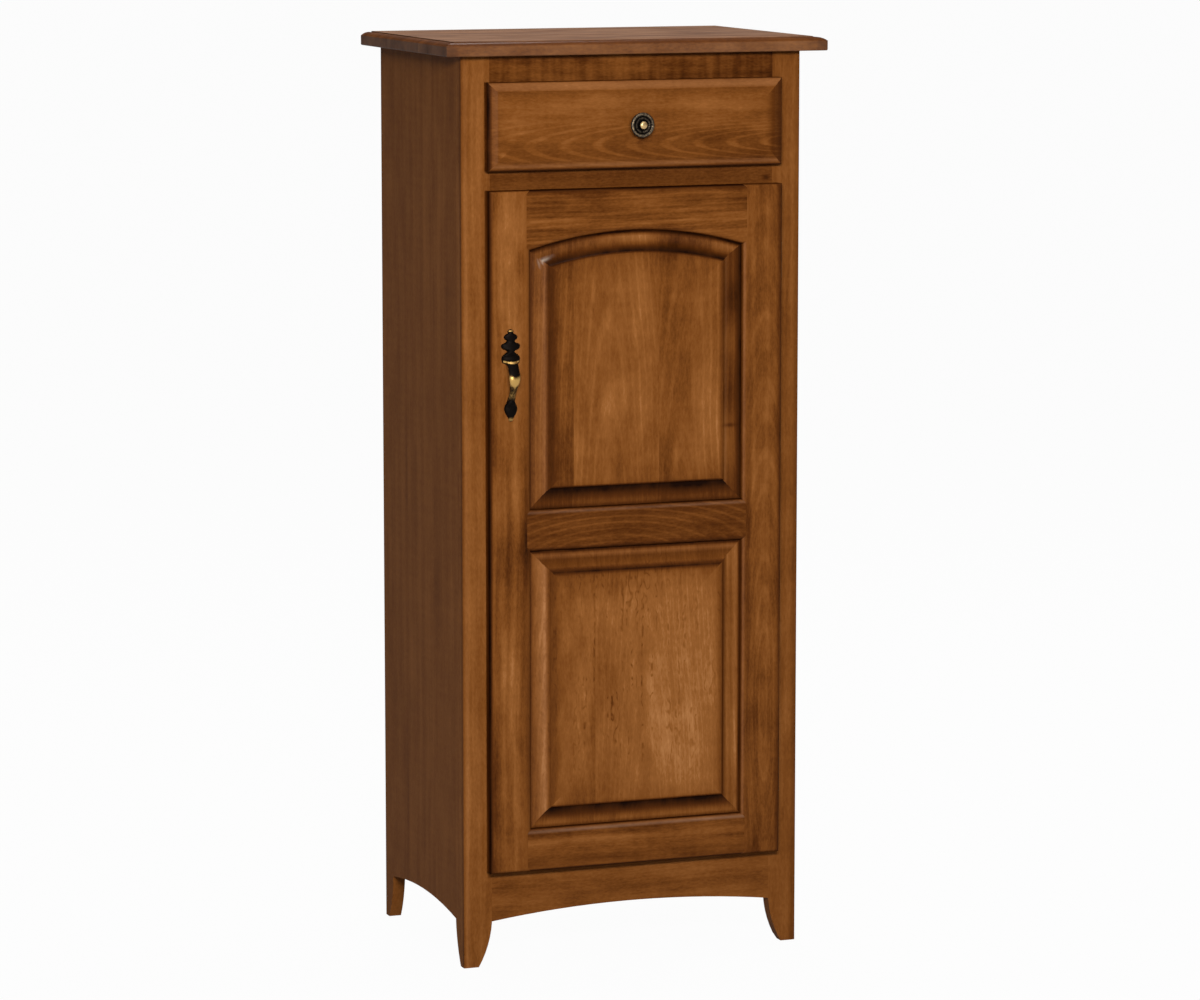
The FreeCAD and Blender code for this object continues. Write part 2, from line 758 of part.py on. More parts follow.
arch_cutter = turned("arch_cutter", [
    (dim(0), door_face - 1),
    (arch_radius + stick, door_face - 1),
    (arch_radius + stick, door_face, Bow(stick, 1)),
    (arch_radius, door_face + stick),
    (arch_radius, groove_a),
    (arch_radius + groove, groove_a),
    (arch_radius + groove, groove_b),
    (arch_radius, groove_b),
    (arch_radius, door_back + 1),
    (dim(0), door_back + 1),
], arch_centre)
top_rail_box = board("door_rail_top_box", (-rail_end, rail_end), (door_face, door_back),
                     (spring - 20, leaf_high))
top_rail_blank = common("door_rail_top_blank", [top_rail_box, door_envelope])
keep("door_rail_top", cut("door_rail_top", top_rail_blank, [arch_cutter] + both_stiles))

# Raised panels: a field, a small step and a cove down to a thin edge in the groove
edge_front = groove_a + "panel_play"
edge_back = groove_b - "panel_play"
field_y = door_face + "field_drop"
step_y = field_y + "field_step"
border = dim("panel_border")
cove_foot = dim("cove_foot")
grip = groove - "panel_float"
cove_radius = radius_of(border - cove_foot, edge_front - step_y, dim("cove_sag"))
PANEL_PLAN = [
    (-(panel_x + grip), edge_back),
    (-(panel_x + grip), edge_front),
    (-(panel_x - cove_foot), edge_front, Bow(cove_radius, 1)),
    (-(panel_x - border), step_y),
    (-(panel_x - border), field_y),
    (panel_x - border, field_y),
    (panel_x - border, step_y, Bow(cove_radius, 1)),
    (panel_x - cove_foot, edge_front),
    (panel_x + grip, edge_front),
    (panel_x + grip, edge_back),
]
lower_plan = prism("lower_plan", "plan", PANEL_PLAN, lower_low - grip, lower_high + grip)
lower_side = prism("lower_side", "side", [
    (edge_back, lower_low - grip),
    (edge_front, lower_low - grip),
    (edge_front, lower_low + cove_foot, Bow(cove_radius, -1)),
    (step_y, lower_low + border),
    (field_y, lower_low + border),
    (field_y, lower_high - border),
    (step_y, lower_high - border, Bow(cove_radius, -1)),
    (edge_front, lower_high - cove_foot),
    (edge_front, lower_high + grip),
    (edge_back, lower_high + grip),
], -(panel_x + grip + 1), panel_x + grip + 1)
keep("door_panel_lower", common("door_panel_lower", [lower_plan, lower_side]))

panel_cap = crown + grip + 5
upper_plan = prism("upper_plan", "plan", PANEL_PLAN, upper_low - grip, panel_cap)
upper_side = prism("upper_side", "side", [
    (edge_back, upper_low - grip),
    (edge_front, upper_low - grip),
    (edge_front, upper_low + cove_foot, Bow(cove_radius, -1)),
    (step_y, upper_low + border),
    (field_y, upper_low + border),
    (field_y, panel_cap),
    (edge_back, panel_cap),
], -(panel_x + grip + 1), panel_x + grip + 1)
upper_arch = turned("upper_arch", [
    (dim(0), edge_back),
    (dim(0), field_y),
    (arch_radius - border, field_y),
    (arch_radius - border, step_y, Bow(cove_radius, 1)),
    (arch_radius - cove_foot, edge_front),
    (arch_radius + grip, edge_front),
    (arch_radius + grip, edge_back),
], arch_centre)
keep("door_panel_upper", common("door_panel_upper", [upper_plan, upper_side, upper_arch]))

# Hinges: a leaf let into the back of the door, a leaf wrapped round the stile, and a pin
pin_x = door_x + "knuckle_radius" + 0.3
pin_y = face_y - "knuckle_radius" - 0.2
sheet_metal = dim("hinge_metal")
hinge_half = dim("hinge_half")
middle_knuckle = hinge_half * 0.4
frame_screw_parts = []
door_screw_parts = []
frame_leaf_blanks = {}
door_leaf_blanks = {}
for name, hinge_z in (("upper", leaf_high - "hinge_inset"), ("lower", leaf_low + "hinge_inset")):
    tall = (hinge_z - hinge_half, hinge_z + hinge_half)
    middle = (hinge_z - middle_knuckle, hinge_z + middle_knuckle)
    stem = f"hinge_{name}"
    keep("hinge_pin_" + name, rod(
        "hinge_pin_" + name, "z", tall[0] - 1, tall[1] + 1, (pin_x, pin_y), "hinge_pin_radius"))
    plate = board(stem + "_plate", (opening_x - sheet_metal, pin_x),
                  (face_y - sheet_metal, face_y), tall)
    notch = board(stem + "_notch", (pin_x - "knuckle_radius" - 0.6, pin_x + 1),
                  (face_y - sheet_metal - 1, face_y + 1), (middle[0] - 0.3, middle[1] + 0.3))
    notched = cut(stem + "_notched", plate, [notch])
    wrap = board(stem + "_wrap", (opening_x - sheet_metal, opening_x),
                 (face_y - sheet_metal, inside_y - 2), tall)
    ends = [
        rod(stem + "_knuckle_low", "z", tall[0], middle[0] - 0.3, (pin_x, pin_y), "knuckle_radius"),
        rod(stem + "_knuckle_high", "z", middle[1] + 0.3, tall[1], (pin_x, pin_y), "knuckle_radius"),
    ]
    bore = rod(stem + "_bore", "z", tall[0] - 2, tall[1] + 2, (pin_x, pin_y), "hinge_pin_radius")
    joined = fuse(stem + "_joined", [notched, wrap] + ends)
    frame_leaf_blanks[name] = cut(stem + "_bored", joined, [bore])

    leaf = board(stem + "_leaf", (door_x - "hinge_leaf_width", door_x),
                 (door_back - sheet_metal, door_back), tall)
    tab = board(stem + "_tab", (door_x - 1, pin_x), (door_back - sheet_metal, door_back), middle)
    knuckle = rod(stem + "_knuckle", "z", middle[0], middle[1], (pin_x, pin_y), "knuckle_radius")
    running = rod(stem + "_running", "z", tall[0] - 2, tall[1] + 2, (pin_x, pin_y),
                  dim("hinge_pin_radius") + 0.05)
    door_leaf_joined = fuse(stem + "_leaf_joined", [leaf, tab, knuckle])
    door_leaf_blanks[name] = cut(stem + "_leaf_bored", door_leaf_joined, [running])

    for place, lift in (("low", -0.6), ("high", 0.6)):
        screw_z = hinge_z + hinge_half * lift
        spot = (face_y + dim("frame_thickness") / 2, screw_z)
        head = opening_x - sheet_metal
        frame_screw_parts.append(screw_rod(
            f"{stem}_frame_screw_{place}", "x", head - "screw_head_height", head, spot, "screw_head"))
        frame_screw_parts.append(screw_rod(
            f"{stem}_frame_shank_{place}", "x", head, opening_x + "screw_grip", spot, "screw_radius"))
        spot = (door_x - dim("hinge_leaf_width") * 0.64, screw_z)
        door_screw_parts.append(screw_rod(
            f"{stem}_door_screw_{place}", "y", door_back - sheet_metal, door_back, spot, "screw_head"))
        door_screw_parts.append(screw_rod(
            f"{stem}_door_shank_{place}", "y", door_back - sheet_metal - "screw_grip",
            door_back - sheet_metal, spot, "screw_radius"))
frame_screws = keep("hinge_frame_screws", fuse("hinge_frame_screws", frame_screw_parts))
door_screws = keep("hinge_door_screws", fuse("hinge_door_screws", door_screw_parts))
for name in ("upper", "lower"):
    keep("hinge_frame_leaf_" + name, cut(
        "hinge_frame_leaf_" + name, frame_leaf_blanks[name], [frame_screws]))
    keep("hinge_door_leaf_" + name, cut(
        "hinge_door_leaf_" + name, door_leaf_blanks[name], [door_screws]))

# Pull: a three-lobed finial, a bow that stands off the door, a leaf, and two posts
pull_x = -(door_x - dim("door_stile") / 2)
pull_z = dim("pull_height")
length = dim("pull_half")
stand = dim("pull_projection")
plate_y = door_face - 3.5
post = length * 0.55


def lobe(label, across, along, radius):
    return rod(label, "y", plate_y, door_face, (pull_x + across, pull_z + along), radius)


post_radius = length * 0.085
bow_low = stand - length * 0.1
bow_rise = bow_low - 6
bow_outer = radius_of(2 * post, dim(0), stand - 10)
bow_inner = radius_of(2 * post, dim(0), bow_rise)
bow_side = prism("pull_bow_side", "side", [
    (door_face - 10, pull_z - post, Bow(bow_outer, 1)),
    (door_face - 10, pull_z + post),
    (door_face - 6, pull_z + post, Bow(bow_inner, -1)),
    (door_face - 6, pull_z - post),
], pull_x - length * 0.2, pull_x + length * 0.2)
bow_front = prism("pull_bow_front", "front", [
    (pull_x - post_radius * 0.7, pull_z - post - 1),
    (pull_x + post_radius * 0.7, pull_z - post - 1),
    (pull_x + post_radius * 1.05, pull_z),
    (pull_x + post_radius * 0.7, pull_z + post + 1),
    (pull_x - post_radius * 0.7, pull_z + post + 1),
    (pull_x - post_radius * 1.05, pull_z),
], door_face - stand - 1, door_face + 1)
pull_bow = common("pull_bow", [bow_side, bow_front])
leaf_half = length * 0.155
leaf_long = length * 0.28
leaf_radius = radius_of(leaf_half, leaf_long, dim(2))
leaf_middle = pull_z - (length - leaf_long)
pull_leaf = prism("pull_leaf", "front", [
    (pull_x, leaf_middle - leaf_long, Bow(leaf_radius, -1)),
    (pull_x + leaf_half, leaf_middle, Bow(leaf_radius, -1)),
    (pull_x, leaf_middle + leaf_long, Bow(leaf_radius, -1)),
    (pull_x - leaf_half, leaf_middle, Bow(leaf_radius, -1)),
], plate_y, door_face)
pull_screw_parts = []
for name, lift in (("upper", post), ("lower", -post)):
    spot = (pull_x, pull_z + lift)
    pull_screw_parts.append(screw_rod(
        f"pull_screw_{name}", "y", door_back, door_back + "screw_head_height", spot, "screw_head"))
    pull_screw_parts.append(screw_rod(
        f"pull_shank_{name}", "y", door_face - 6, door_back, spot, "screw_radius"))
pull_screws = keep("pull_screws", fuse("pull_screws", pull_screw_parts))
pull_blank = fuse("door_pull_blank", [
    lobe("pull_lobe_top", dim(0), length * 0.87, length * 0.13),
    lobe("pull_lobe_left", -length * 0.11, length * 0.67, length * 0.105),
    lobe("pull_lobe_right", length * 0.11, length * 0.67, length * 0.105),
    board("pull_stem", (pull_x - length * 0.05, pull_x + length * 0.05), (plate_y, door_face),
          (pull_z + post, pull_z + length * 0.87)),
    rod("pull_post_upper", "y", door_face - 10, door_face, (pull_x, pull_z + post), post_radius),
    rod("pull_post_lower", "y", door_face - 10, door_face, (pull_x, pull_z - post), post_radius),
    pull_leaf,
    pull_bow,
])
keep("door_pull", cut("door_pull", pull_blank, [pull_screws]))

# Door stiles, with seats for the hinge leaves and holes for the screws
keep("door_stile_left", cut("door_stile_left", stile_blanks["left"], [pull_screws]))
leaf_blanks = [door_leaf_blanks["upper"], door_leaf_blanks["lower"]]
keep("door_stile_right", cut(
    "door_stile_right", stile_blanks["right"], leaf_blanks + [door_screws]))

# Magnetic catch on the left stile, its strike on the door, and the door's bumpers
catch_z = (leaf_low + leaf_high) / 2
catch_half = dim("catch_height") / 2
keep("catch_body", board("catch_body", (-opening_x, -opening_x + 12), (face_y - 0.2, inside_y - 2),
                         (catch_z - catch_half, catch_z + catch_half)))
keep("catch_strike", board(
    "catch_strike", (-opening_x + 1, -opening_x + 11), (door_back, face_y - 0.5),
    (catch_z - catch_half * 0.8, catch_z + catch_half * 0.8)))
keep("door_bumpers", fuse("door_bumpers", [
    screw_rod("door_bumper_low", "y", door_back, bumper_end,
              (-bumper_x, leaf_low + "bumper_inset"), "bumper_radius"),
    screw_rod("door_bumper_high", "y", door_back, bumper_end,
              (-bumper_x, leaf_high - "bumper_inset"), "bumper_radius"),
]))

# Face frame stiles: front outline, side outline and eased corner, shared, then mortised
foot_radius = radius_of(dim("stile_width") - "foot_width", foot_height, foot_bulge)
for name, side in SIDES:
    stem = "face_stile_" + name
    front_view = prism(stem + "_front", "front", [
        (side * half_width, dim(0)),
        (side * (half_width - "foot_width"), dim(0), Bow(foot_radius, side)),
        (side * opening_x, foot_height),
        (side * opening_x, case_top),
        (side * half_width, case_top),
    ], face_y, inside_y)
    low, high = span(side, opening_x, half_width)
    side_view = prism(stem + "_side", "side", SIDE_OUTLINE, low - 1, high + 1)
    plan_view = prism(stem + "_plan", "plan", [
        (side * opening_x, inside_y),
        (side * half_width, inside_y),
        (side * half_width, face_y + 1.5, Bow(1.5, side)),
        (side * (half_width - 1.5), face_y),
        (side * opening_x, face_y),
    ], dim(-1), case_top + 1)
    blank = common(stem + "_blank", [front_view, side_view, plan_view])
    tools = face_rails + ([frame_screws] if side > 0 else [])
    keep(stem, cut(stem, blank, tools))

# Side panels: side outline behind the face frame, housed for the boards that meet them
for name, side in SIDES:
    stem = "side_panel_" + name
    low, high = span(side, inside_x, half_width)
    whole = prism(stem + "_whole", "side", SIDE_OUTLINE, low, high)
    ahead = board(stem + "_ahead", (low - 1, high + 1), (face_y - 1, inside_y), (-1, case_top + 1))
    keep(stem, cut(stem, whole, [ahead, cabinet_floor, divider_panel, back_panel]))

doc.recompute()

# Every object is sound before anything is written
faults = []
for item in doc.Objects:
    if "Invalid" in item.State or "Error" in item.State:
        faults.append(f"{item.Name}: {item.State}")
for label, piece in subparts.items():
    if piece.Shape.isNull() or not piece.Shape.isValid() or not piece.Shape.Solids:
        faults.append(f"{label}: no sound solid")
if faults:
    raise RuntimeError("; ".join(faults))

os.makedirs("parts", exist_ok=True)
for label, piece in subparts.items():
    piece.Shape.exportStep(os.path.join("parts", label + ".step"))
print(len(subparts), "sub-parts written")
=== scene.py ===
# %% [markdown]
# # A stained maple jelly cupboard
#
# The cupboard is a narrow case on four tapered feet, with one drawer over one panelled door.
# Its boards come in as a fixed frame, already cut to shape, so this lesson is about what the
# frame lacks: the grain of every board, the dark glaze and painted shade in the mouldings, the
# painted highlights on the edges, the cast brass pull and knob, the screw heads, and the light
# that they are seen in.

# %% Load the frame
import math
from functools import partialmethod

import bmesh
import bpy
import numpy as np
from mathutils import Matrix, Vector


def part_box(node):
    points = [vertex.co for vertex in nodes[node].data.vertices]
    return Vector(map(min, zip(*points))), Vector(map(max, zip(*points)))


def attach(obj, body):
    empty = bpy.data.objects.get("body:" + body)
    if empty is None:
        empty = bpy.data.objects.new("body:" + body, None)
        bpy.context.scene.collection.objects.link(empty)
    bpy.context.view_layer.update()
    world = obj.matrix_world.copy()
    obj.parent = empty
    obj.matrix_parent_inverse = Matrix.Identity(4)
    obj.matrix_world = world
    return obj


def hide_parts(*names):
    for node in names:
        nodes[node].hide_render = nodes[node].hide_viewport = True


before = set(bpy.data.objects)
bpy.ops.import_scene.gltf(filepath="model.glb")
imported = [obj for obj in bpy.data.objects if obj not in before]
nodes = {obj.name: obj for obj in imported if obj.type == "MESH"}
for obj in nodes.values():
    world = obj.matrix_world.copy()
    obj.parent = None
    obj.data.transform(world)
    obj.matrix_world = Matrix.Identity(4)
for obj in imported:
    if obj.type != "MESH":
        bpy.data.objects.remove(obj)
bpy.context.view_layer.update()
scene = bpy.context.scene
scene.view_settings.view_transform = "Standard"

# %% [markdown]
# ## Camera
#
# The cupboard was seen from a few metres away through a long lens, so its upright edges hardly
# lean. The camera stands to the left of the front, a little above the top board. Its place and
# lens were worked out from the corners of the case. It isn't shifted, so it also works when it
# is moved round to the other sides.

# %% Set up the camera
IMAGE_WIDTH = 1200
FOCAL_PIXELS = 4689.4
SENSOR = 36.0
CAMERA_PLACE = (-2.3410, -6.3079, 1.6064)
CAMERA_YAW = 20.44
CAMERA_PITCH = 8.19

camera_data = bpy.data.cameras.new("camera")
camera_data.sensor_fit = "HORIZONTAL"
camera_data.sensor_width = SENSOR
camera_data.lens = FOCAL_PIXELS / IMAGE_WIDTH * SENSOR
camera = bpy.data.objects.new("camera", camera_data)
camera.location = CAMERA_PLACE
camera.rotation_euler = (math.radians(90 - CAMERA_PITCH), 0, -math.radians(CAMERA_YAW))
scene.collection.objects.link(camera)
scene.camera = camera
print("camera: lens", round(camera_data.lens, 2), "mm")

# %% [markdown]
# ## Shader maths written as sums
#
# A material is a graph of nodes, but its maths reads better as Python. The class below holds one
# socket. Adding or multiplying two of them adds a Math node and gives back its output, and the
# reflected forms let a plain number come first, as in `1 - mask`. Other nodes come from `node`,
# which takes the type, the settings and then the values or links of its sockets.

# %% A socket that knows arithmetic
class Flow:
    """One output socket of a node tree, with arithmetic that adds Math nodes."""

    def __init__(self, tree, socket=None):
        self.tree = tree
        self.socket = socket

    def node(self, kind, settings=None, sockets=None, out=0):
        """Add a node of this kind; settings first, then values or links by socket.

        out says which output comes back, by number or name, or it is a tuple of several.
        """
        made = self.tree.nodes.new(kind)
        for key, value in (settings or {}).items():
            setattr(made, key, value)
        for key, value in (sockets or {}).items():
            if isinstance(value, Flow):
                self.tree.links.new(value.socket, made.inputs[key])
            else:
                made.inputs[key].default_value = value
        if isinstance(out, tuple):
            return [Flow(self.tree, made.outputs[name]) for name in out]
        return Flow(self.tree, made.outputs[out])

    def math(self, operation, *values):
        return self.node("ShaderNodeMath", {"operation": operation}, dict(enumerate(values)))

    def infix(self, operation, other):
        return self.math(operation, self, other)

    def __rsub__(self, other):
        return self.math("SUBTRACT", other, self)

    __add__ = __radd__ = partialmethod(infix, "ADD")
    __mul__ = __rmul__ = partialmethod(infix, "MULTIPLY")
    __sub__ = partialmethod(infix, "SUBTRACT")
    __pow__ = partialmethod(infix, "POWER")
    __gt__ = partialmethod(infix, "GREATER_THAN")

    def between(self, low, high, rise="SMOOTHSTEP"):
        """0 below low, 1 above high and a rise between them."""
        return self.node("ShaderNodeMapRange", {"interpolation_type": rise},
                         {"Value": self, "From Min": low, "From Max": high})

    def ramp(self, stops):
        """A colour for every value, from stops of (place, colour or grey)."""
        made = self.tree.nodes.new("ShaderNodeValToRGB")
        self.tree.links.new(self.socket, made.inputs[0])
        elements = made.color_ramp.elements
        while len(elements) < len(stops):
            elements.new(1.0)
        for element, (place, colour) in zip(elements, stops):
            element.position = place
            element.color = (*colour, 1) if isinstance(colour, tuple) else (colour,) * 3 + (1,)
        return Flow(self.tree, made.outputs[0])

    def mix(self, other, factor):
        """This colour with a share of another one."""
        return self.node("ShaderNodeMix", {"data_type": "RGBA"},
                         {0: factor, 6: self, 7: other}, out=2)

    def fade(self):
        """exp(-value): 1 where the value is 0, falling to 0 as it grows."""
        return self.math("EXPONENT", self * -1.0)

    def bump(self, strength, distance):
        """The surface normal of this height."""
        return self.node("ShaderNodeBump", sockets={
            "Height": self, "Strength": strength, "Distance": distance})


def new_material(name):
    """An empty material with a Principled shader: the material, a Flow and the shader node."""
    material = bpy.data.materials.new(name)
    material.use_nodes = True
    tree = material.node_tree
    return material, Flow(tree), tree.nodes["Principled BSDF"]


def feed(shader, **values):
    """Link Flows, or set plain numbers and colours, on the shader's named sockets."""
    for name, value in values.items():
        socket = shader.inputs[name.replace("_", " ")]
        if isinstance(value, Flow):
            value.tree.links.new(value.socket, socket)
        else:
            socket.default_value = value


print("shader maths ready")

# %% [markdown]
# ## Stage and light
#
# The cupboard stands on a plain pale floor. The surround is white to the camera, but to the
# lacquer it is a dim room with a bright window on the left, a pale ceiling and a far wall, so
# that edges turned to those places catch a thin sheen while the front keeps its depth of colour.
# The key lamp is wide and flat and stands close to the camera, a little higher, so the shadows
# under the top, the drawer and the door are thin dark lines. A second lamp lights the top from
# above, and two more light the right side and the back.

# %% Floor, surround and lamps
ROOM_LEVEL = 0.14
WINDOW, CEILING = (0.4, 0.9), (0.3, 0.9)  # shares of left and of up: edge, full light
WALL_BEHIND, WALL_RIGHT, WALL_LEVEL = (0.3, 0.9), (-0.1, 0.4), 0.5
RAYS = ("Is Camera Ray", "Is Glossy Ray", "Is Transmission Ray")
WHITE = (1, 1, 1, 1)
FLOOR_REACH = 40.0
FLOOR_WHITE = 0.97
FLOOR_GREY = (0.34, 0.34, 0.335, 1)
LAMP_AIM = np.array([0, 0, 0.65])
LAMPS = {  # azimuth from the front, elevation, distance from LAMP_AIM, width and height, watts
    "key_lamp": (-18, 19, 4.2, (1.6, 0.45), 168),
    "top_lamp": (-20, 84, 3.6, (2.0, 2.0), 40),
    "right_lamp": (108, 30, 4.0, (1.6, 1.6), 60),
    "back_lamp": (172, 52, 4.0, (1.6, 1.6), 80),
}

world = bpy.data.worlds.new("surround")
scene.world = world
world.use_nodes = True
sky = Flow(world.node_tree)
direction = sky.node("ShaderNodeTexCoord", out=0)
east, north, up = sky.node("ShaderNodeSeparateXYZ", sockets={0: direction}, out=(0, 1, 2))
window = (east * -1.0).between(*WINDOW)
ceiling = up.between(*CEILING)
far_wall = north.between(*WALL_BEHIND) * east.between(*WALL_RIGHT) * WALL_LEVEL
seen, mirrored, through = sky.node("ShaderNodeLightPath", out=RAYS)
bright = sky.math("MAXIMUM", sky.math("MAXIMUM", window, ceiling), far_wall)
white_share = sky.math("MINIMUM", seen + through + mirrored * bright, 1.0)
feed(world.node_tree.nodes["Background"], Color=WHITE,
     Strength=ROOM_LEVEL + white_share * (1 - ROOM_LEVEL))

floor_mesh = bpy.data.meshes.new("floor")
corners = FLOOR_REACH * np.array([(-1, -1, 0), (1, -1, 0), (1, 1, 0), (-1, 1, 0)])
floor_mesh.from_pydata(corners.tolist(), [], [(0, 1, 2, 3)])
floor = bpy.data.objects.new("floor", floor_mesh)
scene.collection.objects.link(floor)
floor_material, ground, plain_shader = new_material("pale_floor")
ground.tree.nodes.remove(plain_shader)
seen, mirrored, through = ground.node("ShaderNodeLightPath", out=RAYS)
matt = ground.node("ShaderNodeBsdfDiffuse", sockets={"Color": FLOOR_GREY})
glow = ground.node("ShaderNodeEmission", sockets={"Color": WHITE, "Strength": 1})
pale = ground.node("ShaderNodeMixShader", sockets={
    0: (seen + mirrored + through) * FLOOR_WHITE, 1: matt, 2: glow})
feed(ground.tree.nodes["Material Output"], Surface=pale)
floor_mesh.materials.append(floor_material)

for name, (azimuth, elevation, distance, size, watts) in LAMPS.items():
    lamp_data = bpy.data.lights.new(name, "AREA")
    lamp_data.shape = "RECTANGLE"
    lamp_data.size, lamp_data.size_y = size
    lamp_data.energy = watts
    lamp = bpy.data.objects.new(name, lamp_data)
    a, e = math.radians(azimuth), math.radians(elevation)
    back = np.array([math.sin(a) * math.cos(e), -math.cos(a) * math.cos(e), math.sin(e)])
    lamp.location = LAMP_AIM + back * distance
    lamp.rotation_euler = (math.pi / 2 - e, 0, a)
    scene.collection.objects.link(lamp)
print("stage: floor, surround and", len(LAMPS), "lamps")

# %% [markdown]
# ## Stained maple
#
# Maple is pale and even, so what shows under a brown stain is where the stain went: into soft
# blotches, along the fibres and into the curl of the figure. Each board gets the same recipe
# with its own numbers, in its own directions: `u` along the grain, `v` across the face and `w`
# into the wood. A slow drift bends the grain, streaks and fibres run along it, blotches and curl
# lie across it, and growth rings are circles about a pith line behind the face. Where that line
# tilts, the face cuts the rings in pointed arches.
#
# A wide panel is glued up from several boards. At each seam the pattern jumps and the tone
# shifts, as it does where two different boards meet.

# %% The recipe for one board
STAIN = [
    (0.00, (0.009, 0.0020, 0.0002)),
    (0.25, (0.078, 0.0215, 0.0034)),
    (0.50, (0.168, 0.0540, 0.0098)),
    (0.75, (0.254, 0.0925, 0.0220)),
    (1.00, (0.395, 0.1700, 0.0580)),
]
# A lighter, yellower stain for the top board: a painted sheen of its upper face, used over the whole board.
TOP_STAIN_WITH_PAINTED_SHEEN = [(place, (1.17 * red, 1.18 * green, blue)) for place, (red, green, blue) in STAIN]
CLEAR = [
    (0.00, (0.300, 0.165, 0.070)),
    (0.50, (0.560, 0.370, 0.195)),
    (1.00, (0.720, 0.530, 0.330)),
]
# Painted highlight: a pale colour mixed into the stain where an edge or the top catches the light.
PAINTED_HIGHLIGHT_COLOUR = (0.60, 0.50, 0.40, 1)
FULL_TURN = 2 * math.pi
SEED_ALONG, SEED_DEEP, SEAM_JUMP = 1.37, 0.61, 0.83  # metres of pattern between two boards
DRIFT, DRIFT_WIDTH = (2.1, 5, 5), 0.026
LAYERS = {  # waves in a metre along, across and into the wood, detail, roughness
    "streaks": ((1.6, 58, 50), 2, 0.5),
    "blotches": ((9, 26, 20), 4, 0.6),
    "fibres": ((6, 190, 170), 1, 0.5),
    "flecks": ((150, 420, 380), 2, 0.6),
    "curls": ((95, 9, 9), 1, 0.5),
}
SQUIGGLES, SQUIGGLE_WIDTH, SQUIGGLE_WHERE = (38, 75, 60), 0.07, (0.02, 0.16)
RING_DRIFT, RING_WAVER, RING_EDGE = 7.0, 2.5, 0.2
# The patches break up the dark share of glaze and painted shade, and the pale painted highlight.
FLECK, GLAZE_AND_SHADE_PATCHES, PAINTED_HIGHLIGHT_PATCHES = 0.30, 0.9, 2.5
# Where the sheen share is high the stain is lightened by the first number, a painted highlight, and the
# coat is thickened by the second.
PAINTED_SHEEN_TONE, SHEEN_COAT = 0.20, 0.50


def board_axes(flow, along, across, seed, seams):
    """Object coordinates by axis, then u, v, w and, for each seam, 0 before it and 1 past it.

    u is the coordinate along the grain and w the one into the wood. u jumps at a seam, so that
    the boards on its two sides don't share their figure.
    """
    place = flow.node("ShaderNodeTexCoord", out=3)
    parts = flow.node("ShaderNodeSeparateXYZ", sockets={0: place}, out=(0, 1, 2))
    axes = dict(zip("XYZ", parts))
    depth = (set("XYZ") - {along, across}).pop()
    past = [axes[across] > seam[0] for seam in seams]
    jump = seed * SEED_ALONG
    for step in past:
        jump = step * SEAM_JUMP + jump
    return axes, axes[along] + jump, axes[across], axes[depth] + seed * SEED_DEEP, past


def layer(flow, grain, scale, detail=2.0, rough=0.5):
    """Noise from -0.5 to 0.5 on the grain vector, stretched by the three scales."""
    stretched = flow.node("ShaderNodeVectorMath", {"operation": "MULTIPLY"}, {0: grain, 1: scale})
    return flow.node("ShaderNodeTexNoise", {"normalize": True}, {
        "Vector": stretched, "Scale": 1.0, "Detail": detail, "Roughness": rough}) - 0.5


def patch(u, v, middle_u, middle_v, length, width):
    """1 at a place on the board, falling to 0 on an oval bell of that half length and width."""
    far = ((u - middle_u) * (1 / length)) ** 2.0 + ((v - middle_v) * (1 / width)) ** 2.0
    return far.fade()


